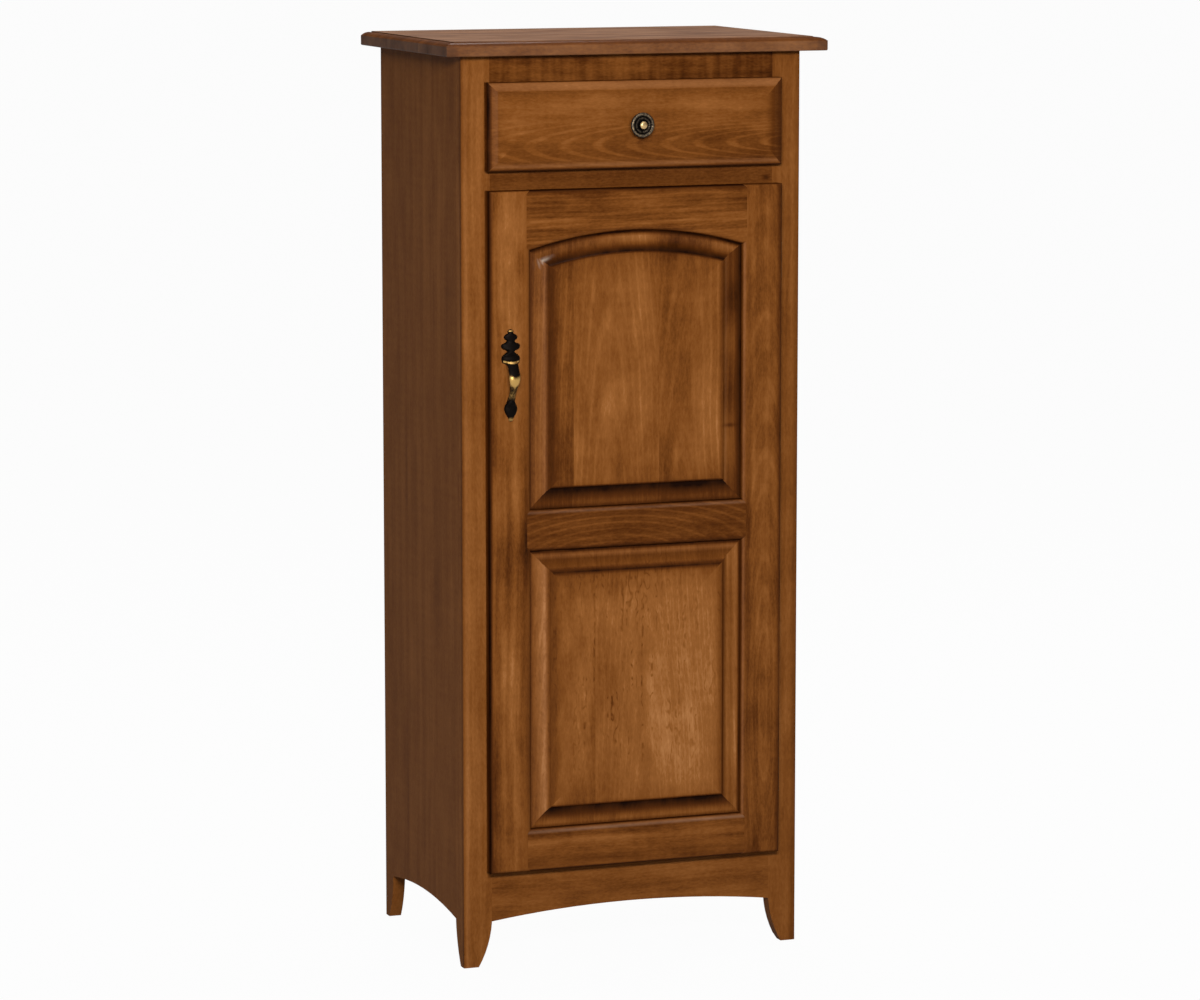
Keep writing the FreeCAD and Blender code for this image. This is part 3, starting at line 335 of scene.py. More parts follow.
def wood(name, grain, seed, tone, ramp=STAIN, streak=0.35, fibre=0.08, blotch=0.65, curl=0.08,
         beak=None, rings=None, seams=(), marks=(), glaze=(), sheen=(), painted_highlight=(), front=-0.150,
         pooled=False, gloss=0.42, coat=0.06):
    """A board's material.

    grain names the axes along and across it, tone is its place on the stain ramp, and streak,
    fibre, blotch and curl are the strengths of layers. beak is a patch of short dark squiggles,
    the zero lines of a noise: (along, across, half length, half width, depth). marks are patches
    where the stain took lighter or darker, with a change of tone last; one on the upper panel
    paints a sheen. seams are (place, change of tone, ring shift across, ring shift along). rings
    is (across, along, depth, tilt, spacing, gain): a pith line that far behind the face at that
    point, tilted along the grain, and maybe the distance across in which the rings fade.
    glaze is a list of (axis, low, high, stops), a dark share for each depth or distance:
    glaze in the hollows, and painted shade on faces and roundings that turn from the lamps. sheen
    is the same for the lacquer on rounded edges, which it also lightens as a painted highlight, and
    painted_highlight mixes in a pale colour where an edge catches the light. Shares by distance end
    at the depth front. A pooled board reads all three from attributes.
    """
    material, flow, shader = new_material(name)
    axes, u, v, w, past = board_axes(flow, *grain, seed, seams)
    along = axes[grain[0]]
    start = flow.node("ShaderNodeCombineXYZ", sockets={0: u, 1: v, 2: w})
    drift = layer(flow, start, DRIFT)
    v = v + drift * DRIFT_WIDTH
    bent = flow.node("ShaderNodeCombineXYZ", sockets={0: u, 1: v, 2: w})
    streaks, blotches, fibres, flecks, curls = (
        layer(flow, bent, *numbers) for numbers in LAYERS.values())
    value = tone + streaks * streak + fibres * fibre + blotches * blotch
    value = value + flecks * FLECK + curls * curl
    if beak:
        bend = layer(flow, bent, SQUIGGLES, 1.0) + blotches * 0.3
        near_line = 1 - bend.math("ABSOLUTE", bend).between(0.0, SQUIGGLE_WIDTH)
        near_line = near_line * (blotches + fibres).between(*SQUIGGLE_WHERE)
        *place, depth = beak
        value = value - near_line * patch(along, v, *place) * depth
    for step, seam in zip(past, seams):
        value = value + step * seam[1]
    for *place, change in marks:
        value = value + patch(along, v, *place) * change
    if rings:
        ring_across, ring_along, depth, tilt, spacing, gain, *reach = rings
        side = v - ring_across
        down = along * tilt + (depth - ring_along * tilt)
        for step, seam in zip(past, seams):
            side = side - step * seam[2]
            down = down - step * (seam[3] * tilt)
        radius = (side * side + down * down) ** 0.5
        phase = radius * (FULL_TURN / spacing) + drift * RING_DRIFT + blotches * RING_WAVER
        line = phase.math("SINE", phase).between(RING_EDGE, 1.0) * (blotches + streaks + 0.6)
        if reach:
            line = line * ((side * (1 / reach[0])) ** 2.0).fade()
        value = value + line * gain
    if pooled:
        dark, bright, pale = (
            flow.node("ShaderNodeAttribute", {"attribute_name": attribute}, out=2)
            for attribute in ("glaze", "sheen", "painted_glint"))
    else:
        dark, bright, pale = (spread(axes, table, front) for table in (glaze, sheen, painted_highlight))
    # Painted highlight: the sheen share also lightens the stain.
    if bright is not None:
        value = value + bright * PAINTED_SHEEN_TONE
    # Glaze and painted shade: the dark share darkens the stain.
    if dark is not None:
        patchy = dark * (blotches * GLAZE_AND_SHADE_PATCHES + 1.0)
        value = value * (1 - patchy.math("MINIMUM", patchy, 1.0))
    colour = value.ramp(ramp)
    # Painted highlight: the pale colour mixed in where an edge catches the light.
    if pale is not None:
        colour = colour.mix(PAINTED_HIGHLIGHT_COLOUR, pale * (blotches * PAINTED_HIGHLIGHT_PATCHES + 1.0))
    relief = flecks + streaks * 0.5
    feed(shader, Base_Color=colour, Roughness=gloss - blotches * 0.18 + flecks * 0.10,
         Normal=relief.bump(0.10, 0.0006), Specular_IOR_Level=0.0, Coat_Roughness=0.25,
         Coat_Weight=coat if bright is None else bright * SHEEN_COAT + coat)
    return material


def spread(axes, table, front):
    """The largest share that any (axis, low, high, stops) of a table gives, or None."""
    most = None
    for axis, low, high, stops in table:
        share = axes[axis].between(low, high, "LINEAR").ramp(stops)
        if axis != "Y":
            share = share * (1 - (axes["Y"] > front))
        most = share if most is None else most.math("MAXIMUM", most, share)
    return most


def dress(name, material):
    """Give a node of the frame its material."""
    for slot in nodes[name].material_slots:
        slot.material = material


print("wood recipe ready")

# %% [markdown]
# ## The boards that show
#
# The finisher wiped a dark glaze over the stain and left it in the hollows. On the door frame
# that is everything behind the rounded inner edges and all round the outer ones, so the share of
# glaze is a function of depth. The same dark share also paints shade, on the side faces of the
# door and the drawer and on roundings that turn from the lamps. Along the edges there are strips
# too, by distance, that end a little behind the face: dark rims of glaze and painted shade, and
# pale lines, a painted highlight where an edge catches the light. The top's moulding is darker,
# glaze with painted shade, between its upper surface and edge, which carry a painted sheen.
# Distances are in metres.

# %% Case, drawer front and door
DOOR_FACE = -0.1785
STRIP_END = DOOR_FACE + 0.006
# The depth share is glaze in the frame's hollows, and painted shade on the side faces of the door.
BY_DEPTH = [(0, 0), (0.05, 0.04), (0.09, 0.3), (0.16, 0.75), (0.25, 0.88), (0.45, 0.82),
            (0.6, 0.58), (0.8, 0.4), (0.95, 0.2), (1, 0)]
BEHIND, HALF_BEHIND = (
    ("Y", DOOR_FACE, DOOR_FACE + 0.0199, [(depth, part * share) for depth, share in BY_DEPTH])
    for part in (1, 0.55))
# RIM, SHADE and INNER_EDGE darken roundings that turn from the lamps: glaze with painted shade. CREST is a
# sheen strip, a painted highlight on the right door stile's inner edge.
RIM = [(0, 0.92), (0.12, 0.8), (0.25, 0.6), (0.5, 0.24), (0.75, 0.05), (1, 0)]
SHADE = [(0, 0), (0.3, 0.12), (0.6, 0.36), (1, 0.65)]
CREST = [(0, 0), (0.25, 0.35), (0.45, 0.65), (0.7, 0.3), (1, 0)]
END_GRAIN = [(0, 0.32), (0.75, 0.28), (1, 0)]
# The top's moulding band gets glaze with painted shade, and its upper surface and front edge a painted
# highlight.
TOP_GLAZE_AND_SHADE = [(0, 0), (0.74, 0), (0.82, 0.3), (0.93, 0.36), (0.97, 0.3), (0.995, 0), (1, 0)]
TOP_PAINTED_HIGHLIGHT = [(0, 0.045), (0.74, 0.045), (0.8, 0), (0.95, 0), (0.99, 0.105), (1, 0.105)]
INNER_EDGE = [(0, 0), (0.17, 0.06), (0.4, 0.22), (0.63, 0.36), (0.85, 0.4), (1, 0.6)]
LOCK_EDGE = [(0, 0), (0.25, 0.2), (0.6, 0.16), (1, 0)]
SIDE = dict(tone=0.55, streak=0.3, blotch=0.35)

BOARDS = {
    "top_board": ("XY", dict(
        tone=0.36, ramp=TOP_STAIN_WITH_PAINTED_SHEEN, coat=0.13, front=1,
        seams=[(-0.06, -0.03, 0.1, 0.2), (0.08, 0.03, 0.2, -0.3)],
        glaze=[("X", -0.284, -0.266, END_GRAIN), ("X", 0.284, 0.266, END_GRAIN),
            ("Z", 1.285, 1.311, TOP_GLAZE_AND_SHADE)], painted_highlight=[("Z", 1.285, 1.311, TOP_PAINTED_HIGHLIGHT)])),
    "side_panel_left": ("ZY", dict(SIDE, seams=[(-0.03, 0.03, 0, 0), (0.09, -0.03, 0, 0)])),
    "side_panel_right": ("ZY", dict(SIDE, seams=[(-0.05, -0.03, 0, 0), (0.07, 0.04, 0, 0)])),
    "face_stile_left": ("ZX", dict(
        tone=0.56, streak=0.5, fibre=0.22, blotch=0.5,
        glaze=[("X", -0.254, -0.25, [(0, 0.3), (0.4, 0.15), (1, 0)])],
        sheen=[("X", -0.252, -0.244, [(0, 0), (0.45, 0.25), (1, 0)])])),
    "face_stile_right": ("ZX", dict(
        tone=0.52, streak=0.45, fibre=0.2, blotch=0.5,
        glaze=[("X", 0.254, 0.244, [(0, 0.34), (0.5, 0.26), (0.75, 0.1), (1, 0)])])),
    "face_rail_top": ("XZ", dict(
        tone=0.3, blotch=0.6, curl=0.45,
        marks=[(0.2, 1.27, 0.1, 0.06, -0.16), (0.03, 1.262, 0.07, 0.02, 0.09)])),
    "face_rail_middle": ("XZ", dict(
        tone=0.37, blotch=0.45,
        marks=[(0.203, 1.113, 0.006, 0.004, -0.25), (-0.02, 1.118, 0.04, 0.02, -0.1)])),
    "apron": ("XZ", dict(
        tone=0.51, blotch=0.7, fibre=0.2,
        marks=[(0.12, 0.11, 0.12, 0.06, 0.05), (-0.19, 0.1, 0.05, 0.05, -0.07)])),
    "drawer_front": ("XZ", dict(
        tone=0.47, streak=0.28, fibre=0.1, blotch=0.6,
        rings=(1.163, -0.2, 0.05, -0.09, 0.0045, 0.28, 0.026),
        marks=[(0.15, 1.145, 0.1, 0.03, -0.12), (0.09, 1.217, 0.12, 0.009, 0.17),
            (-0.02, 1.15, 0.09, 0.008, -0.08), (-0.17, 1.172, 0.05, 0.012, 0.12),
            (-0.14, 1.214, 0.05, 0.01, 0.13)], pooled=True)),
    "door_stile_left": ("ZX", dict(
        front=STRIP_END, tone=0.57, streak=0.9, fibre=0.24, blotch=0.9,
        rings=(-0.186, 0.5, 0.045, 0.03, 0.008, 0.05),
        marks=[(1.04, -0.18, 0.12, 0.05, 0.17), (0.75, -0.18, 0.12, 0.05, -0.1),
            (0.6, -0.19, 0.05, 0.04, -0.24), (0.32, -0.208, 0.2, 0.009, -0.24),
            (0.42, -0.19, 0.13, 0.007, 0.17), (0.93, -0.193, 0.04, 0.01, 0.2),
            (1, -0.173, 0.03, 0.008, -0.28), (0.62, -0.172, 0.1, 0.005, -0.1)],
        glaze=[BEHIND, ("X", -0.22, -0.212, RIM), ("X", -0.177, -0.1595, INNER_EDGE)])),
    "door_stile_right": ("ZX", dict(
        front=STRIP_END, tone=0.43, streak=0.5, fibre=0.18, blotch=0.9,
        rings=(0.195, 0.36, 0, 0.1, 0.005, 0.11, 0.03),
        marks=[(1.03, 0.195, 0.08, 0.03, 0.11), (0.6, 0.172, 0.07, 0.012, -0.24),
            (0.93, 0.172, 0.03, 0.01, -0.17), (0.79, 0.197, 0.03, 0.015, 0.14),
            (0.37, 0.197, 0.03, 0.02, 0.13), (0.21, 0.19, 0.05, 0.04, -0.09)],
        glaze=[HALF_BEHIND, ("X", 0.1655, 0.176, [(0, 0.05), (0.2, 0.12), (0.6, 0.1), (1, 0)]),
            ("X", 0.2195, 0.2095, [(0, 0.5), (0.3, 0.38), (0.5, 0.32), (0.7, 0.14), (1, 0)])],
        sheen=[("X", 0.159, 0.1655, CREST)])),
    "door_rail_top": ("XZ", dict(
        front=STRIP_END, tone=0.45, streak=0.6, fibre=0.45, blotch=0.7,
        rings=(1.085, 0.09, 0.05, 0.05, 0.005, 0.1),
        marks=[(0, 1.098, 0.5, 0.012, -0.1), (-0.145, 1.06, 0.035, 0.04, -0.12),
            (-0.01, 1.081, 0.045, 0.012, 0.12), (0, 1.047, 0.07, 0.006, -0.06)],
        glaze=[BEHIND, ("Z", 1.104, 1.096, RIM)])),
    "door_rail_lock": ("XZ", dict(
        front=STRIP_END, tone=0.29, blotch=0.38, rings=(0.575, -0.04, 0, 0.35, 0.009, 0.14),
        marks=[(0, 0.61, 0.5, 0.008, 0.07), (0.1, 0.644, 0.1, 0.008, -0.07)],
        glaze=[BEHIND, ("Z", 0.603, 0.5965, SHADE), ("Z", 0.652, 0.635, LOCK_EDGE)],
        painted_highlight=[("Z", 0.6545, 0.6485, [(0, 0), (0.5, 0.045), (1, 0)])])),
    "door_rail_bottom": ("XZ", dict(
        front=STRIP_END, tone=0.45, streak=0.7, fibre=0.2, blotch=0.9,
        glaze=[BEHIND, ("Z", 0.138, 0.146, RIM), ("Z", 0.142, 0.166, [(0, 0.3), (0.5, 0.2), (1, 0)])],
        painted_highlight=[("Z", 0.198, 0.191, [(0, 0), (0.5, 0.085), (1, 0)])])),
    "door_panel_upper": ("ZX", dict(
        tone=0.41, streak=0.22, blotch=0.75, rings=(-0.043, 0.92, 0.055, 0.05, 0.006, 0.12),
        seams=[(-0.0956, 0.15, 0, 0), (0.0329, -0.125, 0.115, -0.167)],
        # The mark at height 1.033 lightens the middle of the arch cove as a painted sheen.
        marks=[(1.027, 0.066, 0.02, 0.032, -0.28), (1.03, -0.066, 0.012, 0.04, -0.18),
            (1.033, 0.012, 0.01, 0.022, 0.17), (0.735, 0.144, 0.045, 0.012, 0.42),
            (0.885, 0.144, 0.028, 0.012, 0.28), (0.945, 0.144, 0.025, 0.012, -0.28),
            (0.805, 0.144, 0.02, 0.012, -0.12), (0.762, 0.146, 0.003, 0.01, -0.4),
            (0.8, 0.022, 0.12, 0.02, 0.1), (0.84, 0.1, 0.16, 0.035, 0.17)], pooled=True)),
    "door_panel_lower": ("ZX", dict(
        tone=0.6, streak=0.25, fibre=0.1, blotch=0.8, curl=0.1, beak=(0.43, -0.01, 0.19, 0.13, 0.34),
        rings=(-0.105, 0.3, 0.05, 0.07, 0.006, 0.09), seams=[(-0.0631, 0.05, 0.12, 0.2)],
        marks=[(0.39, 0.08, 0.16, 0.07, 0.14), (0.36, 0.045, 0.12, 0.03, 0.1),
            (0.36, -0.045, 0.05, 0.018, -0.16), (0.49, -0.085, 0.03, 0.02, 0.12),
            (0.545, -0.04, 0.02, 0.06, -0.08)], pooled=True)),
}
maple = {name: wood("maple_" + name, grain, seed, **numbers)
         for seed, (name, (grain, numbers)) in enumerate(BOARDS.items(), 1)}
for name, material in maple.items():
    dress(name, material)
print("stained boards:", len(BOARDS))

# %% [markdown]
# ## Inside the case and the drawer box
#
# The inside is stained like the outside, but its boards are plainer and carry no glaze. The
# drawer box is the one part that was left pale, with a clear lacquer, as drawer boxes often are.

# %% Inside boards
INSIDE = {
    "cabinet_floor": "XY", "divider_panel": "XY", "shelf_lower": "XY", "shelf_middle": "XY",
    "shelf_upper": "XY", "back_panel": "ZX", "back_rail": "XZ", "top_cleat_left": "YX",
    "top_cleat_right": "YX", "slide_cleat_left": "YZ", "slide_cleat_right": "YZ",
    "shelf_cleats": "YZ",
}
DRAWER_BOX = {
    "drawer_box_front": "XZ", "drawer_back": "XZ", "drawer_side_left": "YZ",
    "drawer_side_right": "YZ", "drawer_bottom": "XY",
}
for seed, (name, grain) in enumerate(INSIDE.items(), 20):
    dress(name, wood("inside_" + name, grain, seed, tone=0.64, blotch=0.30,
                     rings=(0.03, 0.1, 0.08, 0.03, 0.009, 0.10)))
for seed, (name, grain) in enumerate(DRAWER_BOX.items(), 40):
    dress(name, wood("clear_" + name, grain, seed, tone=0.52, ramp=CLEAR, blotch=0.30, gloss=0.46,
                     rings=(0.02, 0.1, 0.07, 0.03, 0.007, 0.12)))
print("inside boards:", len(INSIDE), "drawer boards:", len(DRAWER_BOX))

# %% [markdown]
# ## Metals, plastic and rubber
#
# The pull and the knob are cast brass, blackened and then rubbed, so the metal shines only on
# the high spots, a little yellower on the pull than on the knob. Each of the two carries an
# attribute, `worn`, that says how far a point was rubbed. The hinges are darkened evenly, and
# the slides and screws are zinc plated, with the faint cloudy spangle that plating leaves.

# %% Finishes of the hardware
BLACKENED = (0.0045, 0.0030, 0.0022)
CLOUDED = {  # dark tone, light tone, roughness, waves of the cloud in a metre, metal or not
    "hinge_brass": ((0.09, 0.058, 0.026), (0.26, 0.18, 0.08), 0.42, (160,) * 3, True),
    "zinc_steel": ((0.42, 0.43, 0.44), (0.62, 0.63, 0.64), 0.36, (90, 30, 220), True),
    "catch_plastic": ((0.055, 0.030, 0.018), (0.085, 0.048, 0.030), 0.5, (900,) * 3, False),
    "bumper_rubber": ((0.42, 0.40, 0.37), (0.58, 0.56, 0.53), 0.75, (1400,) * 3, False),
}


def cast_brass(name, half_rubbed, bare):
    """Blackened brass, bare where the attribute worn is high; two colours of the metal."""
    material, flow, shader = new_material(name)
    place = flow.node("ShaderNodeTexCoord", out=3)
    worn = flow.node("ShaderNodeAttribute", {"attribute_name": "worn"}, out=2)
    cloud = layer(flow, place, (420,) * 3, 3.0)
    pits = layer(flow, place, (1500,) * 3, 2.0)
    rubbed = (worn + cloud * 0.5).between(0.25, 0.75)
    colour = rubbed.ramp([(0.0, BLACKENED), (0.45, half_rubbed), (1.0, bare)])
    feed(shader, Base_Color=colour, Metallic=0.9, Roughness=0.55 - rubbed * 0.20 + cloud * 0.2,
         Normal=(pits + cloud).bump(0.18, 0.0003), Specular_IOR_Level=0.2)
    return material


def clouded(name, dark, light, rough, scale, metal):
    """Metal with a finer grain, or plastic or rubber with its moulded one, between two tones."""
    material, flow, shader = new_material(name)
    place = flow.node("ShaderNodeTexCoord", out=3)
    cloud = layer(flow, place, scale, 3.0, 0.6)
    feed(shader, Base_Color=(cloud + 0.5).ramp([(0.30, dark), (0.70, light)]))
    if metal:
        fine = layer(flow, place, tuple(5 * size for size in scale), 2.0)
        feed(shader, Metallic=1.0, Roughness=rough + cloud * 0.3, Normal=fine.bump(0.08, 0.0002))
    else:
        feed(shader, Roughness=rough + cloud * 0.2, Normal=cloud.bump(0.15, 0.0003))
    return material


pull_brass = cast_brass("pull_brass", (0.112, 0.061, 0.018), (0.49, 0.297, 0.090))
knob_brass = cast_brass("knob_brass", (0.105, 0.080, 0.054), (0.52, 0.350, 0.160))
finish = {name: clouded(name, *numbers) for name, numbers in CLOUDED.items()}
for name, node in nodes.items():
    slot_name = node.data.materials[0].name.split(".")[0] if node.data.materials else ""
    if slot_name in finish:
        dress(name, finish[slot_name])
print("hardware finishes:", len(finish))

# %% [markdown]
# ## Surfaces from arrays
#
# Cast and turned pieces are surfaces of two parameters. A turned piece is a profile carried
# round an axis; a bow is a section carried along a path. Both come out as a grid of points, and
# the cells of the grid are the faces. Where a row of the grid shrinks to one point, its doubles
# are merged, which closes the pole.

# %% Grids, lines and meshes
WELD = 1e-6


def smooth_line(points, count):
    """A Catmull-Rom line through the points.

    In each span the position is a cubic of t whose slope at a point is half the step between
    its two neighbours.
    """
    known = np.asarray(points, float)
    padded = np.vstack([2 * known[0] - known[1], known, 2 * known[-1] - known[-2]])
    t = np.linspace(0, len(known) - 1, count)
    i = np.minimum(t.astype(int), len(known) - 2)
    f = (t - i)[:, None]
    a, b, c, d = padded[i], padded[i + 1], padded[i + 2], padded[i + 3]
    return 0.5 * (2 * b + (c - a) * f + (2 * a - 5 * b + 4 * c - d) * f ** 2
                  + (3 * b - a - 3 * c + d) * f ** 3)


def round_angles(count):
    """A row of equal angles once round."""
    return np.linspace(0, FULL_TURN, count, endpoint=False)[None, :]


def cells(rows, columns, closed):
    """Corner numbers of every cell of a grid; a closed grid's last column joins its first."""
    i = np.arange(rows - 1)[:, None] * columns
    j = np.arange(columns if closed else columns - 1)[None, :]
    k = (j + 1) % columns
    return np.stack([i + j, i + k, i + columns + k, i + columns + j], -1).reshape(-1, 4)


def make_piece(name, closed_grids, open_grids=(), crease=40):
    """One mesh object from grids of points (rows, columns, 3), welded where they meet."""
    faces, count = [], 0
    grids = [*closed_grids, *open_grids]
    for number, grid in enumerate(grids):
        faces.append(cells(*grid.shape[:2], number < len(closed_grids)) + count)
        count += grid.shape[0] * grid.shape[1]
    points = np.concatenate([grid.reshape(-1, 3) for grid in grids])
    mesh = bpy.data.meshes.new(name)
    mesh.from_pydata(points.tolist(), [], np.concatenate(faces).tolist())
    shell = bmesh.new()
    shell.from_mesh(mesh)
    bmesh.ops.remove_doubles(shell, verts=shell.verts, dist=WELD)
    bmesh.ops.recalc_face_normals(shell, faces=shell.faces)
    shell.to_mesh(mesh)
    shell.free()
    mesh.shade_smooth()
    mesh.set_sharp_from_angle(angle=math.radians(crease))
    piece = bpy.data.objects.new(name, mesh)
    scene.collection.objects.link(piece)
    return piece


def mark(piece, name, rule):
    """Store rule(points), from 0 to 1, as the attribute of that name."""
    points = np.empty(len(piece.data.vertices) * 3)
    piece.data.vertices.foreach_get("co", points)
    share = np.clip(rule(points.reshape(-1, 3)), 0, 1)
    piece.data.attributes.new(name, "FLOAT", "POINT").data.foreach_set(
        "value", share.astype(np.float32))
    return share


def stand_in(piece, material, body, node):
    """Give a piece its material and let it ride a body in the place of a node."""
    piece.data.materials.append(material)
    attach(piece, body)
    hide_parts(node)


def rubbed_piece(name, grids, wear, brass, body, node):
    """A brass piece whose attribute worn follows the rule wear."""
    piece = make_piece(name, grids)
    worn = mark(piece, "worn", wear)
    stand_in(piece, brass, body, node)
    print(name, len(piece.data.polygons), "faces, mean wear", round(float(worn.mean()), 3))


def bell(value, middle, width):
    """1 at the middle, falling to 0 on a bell curve of that width."""
    return np.exp(-((value - middle) / width) ** 2)


print("surface tools ready")

# %% [markdown]
# ## Moulded boards
#
# A raised panel is a flat field inside a moulded border, and the border is one profile that runs
# round the edge and turns at mitres. So the surface is a stack of outlines, each set in by one
# more distance and pushed back by the profile's depth there. The upper panel's top side is an
# arc; set in, it stays an arc about the same centre. The field and the back are plain grids that
# share their edge with the innermost and the outermost outline. The drawer front is built in
# the same way, with a plain bevel as its profile.
#
# Glaze and sheen follow the same distance. Where a moulding is cut across the grain it is end
# grain and drinks the stain, so it goes dark: the top and bottom coves of the panels and the
# left and right bevels of the drawer. Along the grain it stays light. The dark share also paints
# shade where it falls in the panels' steep hollows, and the sheen lightens the colour as a
# painted highlight.

# %% Stacked outlines
def spaced(count):
    """Shares from 0 to 1, with a few close to both ends so that a mitre stays sharp."""
    return np.concatenate([[0, 0.0015, 0.004], np.linspace(0.02, 0.98, count), [0.996, 0.9985, 1]])


NOTHING = [(0, 0), (1, 0)]


class Outline:
    """A board's edge: two upright sides, a level bottom and a top that is level or an arc."""

    x_share, z_share = spaced(34), spaced(38)

    def __init__(self, half, low, high, arch=None):
        self.half, self.low, self.high, self.arch = half, low, high, arch

    def top(self, x, inset):
        if self.arch is None:
            return self.high - inset + 0 * x
        centre, radius = self.arch
        return centre + np.sqrt((radius - inset) ** 2 - x ** 2)

    def base(self, inset):
        """Half width, bottom and the x of every column, all set in by a distance."""
        half = self.half - inset
        return half, self.low + inset, half * (2 * self.x_share - 1)

    def ring(self, inset):
        """The outline set in by a distance: bottom, right, top and left side as one ring."""
        half, bottom, x = self.base(inset)
        z = bottom + (self.top(np.array(half), inset) - bottom) * self.z_share
        return np.stack([
            np.concatenate([x[:-1], 0 * z[1:] + half, x[:0:-1], 0 * z[1:] - half]),
            np.concatenate([0 * x[1:] + bottom, z[:-1], self.top(x[:0:-1], inset), z[:0:-1]])], -1)

    def sheet(self, inset, y):
        """A flat grid inside the outline, its rows rising from the bottom to the top side."""
        _, bottom, x = self.base(inset)
        z = bottom + self.z_share[:, None] * (self.top(x, inset) - bottom)
        return np.stack([x + 0 * z, y + 0 * z, z], -1) / 1000

    def insets(self, points):
        """Distance of every point from the left, right, bottom and top side."""
        x, z = points[:, 0] * 1000, points[:, 2] * 1000
        top = self.high - z if self.arch is None else self.arch[1] - np.hypot(x, z - self.arch[0])
        return np.stack([x + self.half, self.half - x, z - self.low, top])

    def share(self, table, points):
        """What a table of (distance, share) by side gives for the nearest side of each point."""
        near = self.insets(points)
        shares = np.stack([np.interp(inset, *np.array(table.get(side, NOTHING)).T) for inset, side
                           in zip(near, ("left", "right", "bottom", "top"))])
        return np.take_along_axis(shares, near.argmin(0)[None], 0)[0]


EDGE_DEPTH, EDGE_SHARE = np.array([6, 9, 13, 19]), [1.0, 0.85, 0.5, 0.25]
BACK_SKIN = 0.1
PAINTED_GLINT_PEAK = 0.6


def moulded_board(name, node, body, outline, profile, glaze, sheen, painted_glint=None):
    """A board with this profile of (distance, depth) round it; profile starts at its back.

    painted_glint is a painted highlight, a pale spot mixed into the colour, (x, z, half length,
    half width, turn).
    """
    steps, depths = np.array(profile).T
    y = DOOR_FACE * 1000 + depths
    rings = np.stack([outline.ring(inset) for inset in steps])
    border = np.stack([rings[..., 0], y[:, None] + 0 * rings[..., 0], rings[..., 1]], -1) / 1000
    sheets = [outline.sheet(steps[end], y[end]) for end in (-1, 0)]
    piece = make_piece(name, [border], sheets, crease=28)

    def on_front(points):
        """1 on the front and the edge, 0 on the back."""
        return 1000 * points[:, 1] < y[0] - BACK_SKIN

    def fading(table):
        """The table's shares on the front, fading along the edge and gone at the back."""
        return lambda points: outline.share(table, points) * np.interp(
            1000 * points[:, 1], y[-1] + EDGE_DEPTH, EDGE_SHARE) * on_front(points)

    share = mark(piece, "glaze", fading(glaze))
    mark(piece, "sheen", fading(sheen))
    if painted_glint:
        mark(piece, "painted_glint", lambda points: PAINTED_GLINT_PEAK * spot(points, *painted_glint) * on_front(points))
    stand_in(piece, maple[node], body, node)
    print(name, len(piece.data.polygons), "faces, mean glaze", round(float(share.mean()), 3))


def spot(points, x, z, length, width, turn):
    """1 at (x, z) in millimetres, falling to 0 on an oval bell that is turned by an angle."""
    a = math.radians(turn)
    right, up = points[:, 0] * 1000 - x, points[:, 2] * 1000 - z
    along, across = right * math.cos(a) + up * math.sin(a), up * math.cos(a) - right * math.sin(a)
    return bell(along, 0, length) * bell(across, 0, width)


# %% The two panels
COVE_FOOT, COVE_RADIUS, COVE_DEPTH, FIELD_DEPTH = 19.2, 16.0, 6.2, 0.8
UPPER_GLAZE_AND_SHADE = dict(  # distance from the opening in millimetres, share of glaze and painted shade
    left=[(0, 0.75), (2, 0.45), (6, 0.15), (12, 0.03), (22, 0), (25, 0.28), (28, 0.5), (33, 0.46),
        (40, 0.16), (48, 0)],
    right=[(0, 0.95), (4, 0.76), (8, 0.56), (12, 0.38), (18, 0.52), (24, 0.24), (30, 0.48), (33, 0.3),
        (36, 0)],
    bottom=[(0, 0.75), (2, 0.6), (6, 0.38), (10, 0.5), (16, 0.7), (22, 0.9), (28, 1), (30, 0.75),
        (32, 0.25), (36, 0.14), (50, 0.08), (70, 0)],
    top=[(0, 0.97), (2, 0.92), (4, 0.5), (7, 0), (14, 0.1), (19, 0.38), (24, 0.78), (28, 0.97), (30, 0.7),
        (32, 0.22), (36, 0.1), (50, 0.07), (70, 0)],
)
LOWER_GLAZE_AND_SHADE = dict(
    left=[(0, 0.8), (2, 0.5), (5, 0.24), (12, 0.08), (22, 0), (25, 0.22), (28, 0.44), (36, 0.42),
        (44, 0.18), (52, 0)],
    right=[(0, 0.9), (2, 0.7), (5, 0.12), (9, 0), (14, 0.3), (20, 0.15), (24, 0.42), (28, 0.66),
        (32, 0.42), (38, 0.18), (46, 0.03)],
    bottom=[(0, 0.62), (2, 0.42), (5, 0.15), (8, 0.22), (14, 0.56), (18, 0.78), (24, 0.92), (28, 0.97),
        (30, 0.7), (32, 0.25), (36, 0.13), (46, 0.08), (60, 0)],
    top=[(0, 0.95), (3, 0.75), (6, 0.28), (9, 0.28), (13, 0.54), (20, 0.47), (25, 0.4), (29, 0.68),
        (32, 0.88), (35, 0.56), (39, 0.26), (46, 0.18), (60, 0.1), (80, 0)],
)
# Sheen shares thicken the coat and lighten the stain as a painted highlight.
UPPER_SHEEN = dict(
    left=[(2, 0.1), (8, 0.2), (16, 0.3), (20, 0.5), (22.5, 0.5), (27, 0)],
    right=[(20, 0), (24, 0.25), (28, 0)],
    top=[(3, 0), (7, 0.35), (11, 0.35), (16, 0.1), (20, 0)],
)
LOWER_SHEEN = dict(
    left=[(2, 0.1), (8, 0.2), (16, 0.4), (20, 0.75), (22.5, 0.7), (27, 0)],
    right=[(4, 0), (7, 0.2), (10, 0)],
    top=[(4, 0), (7, 0.4), (10, 0.3), (14, 0)],
)


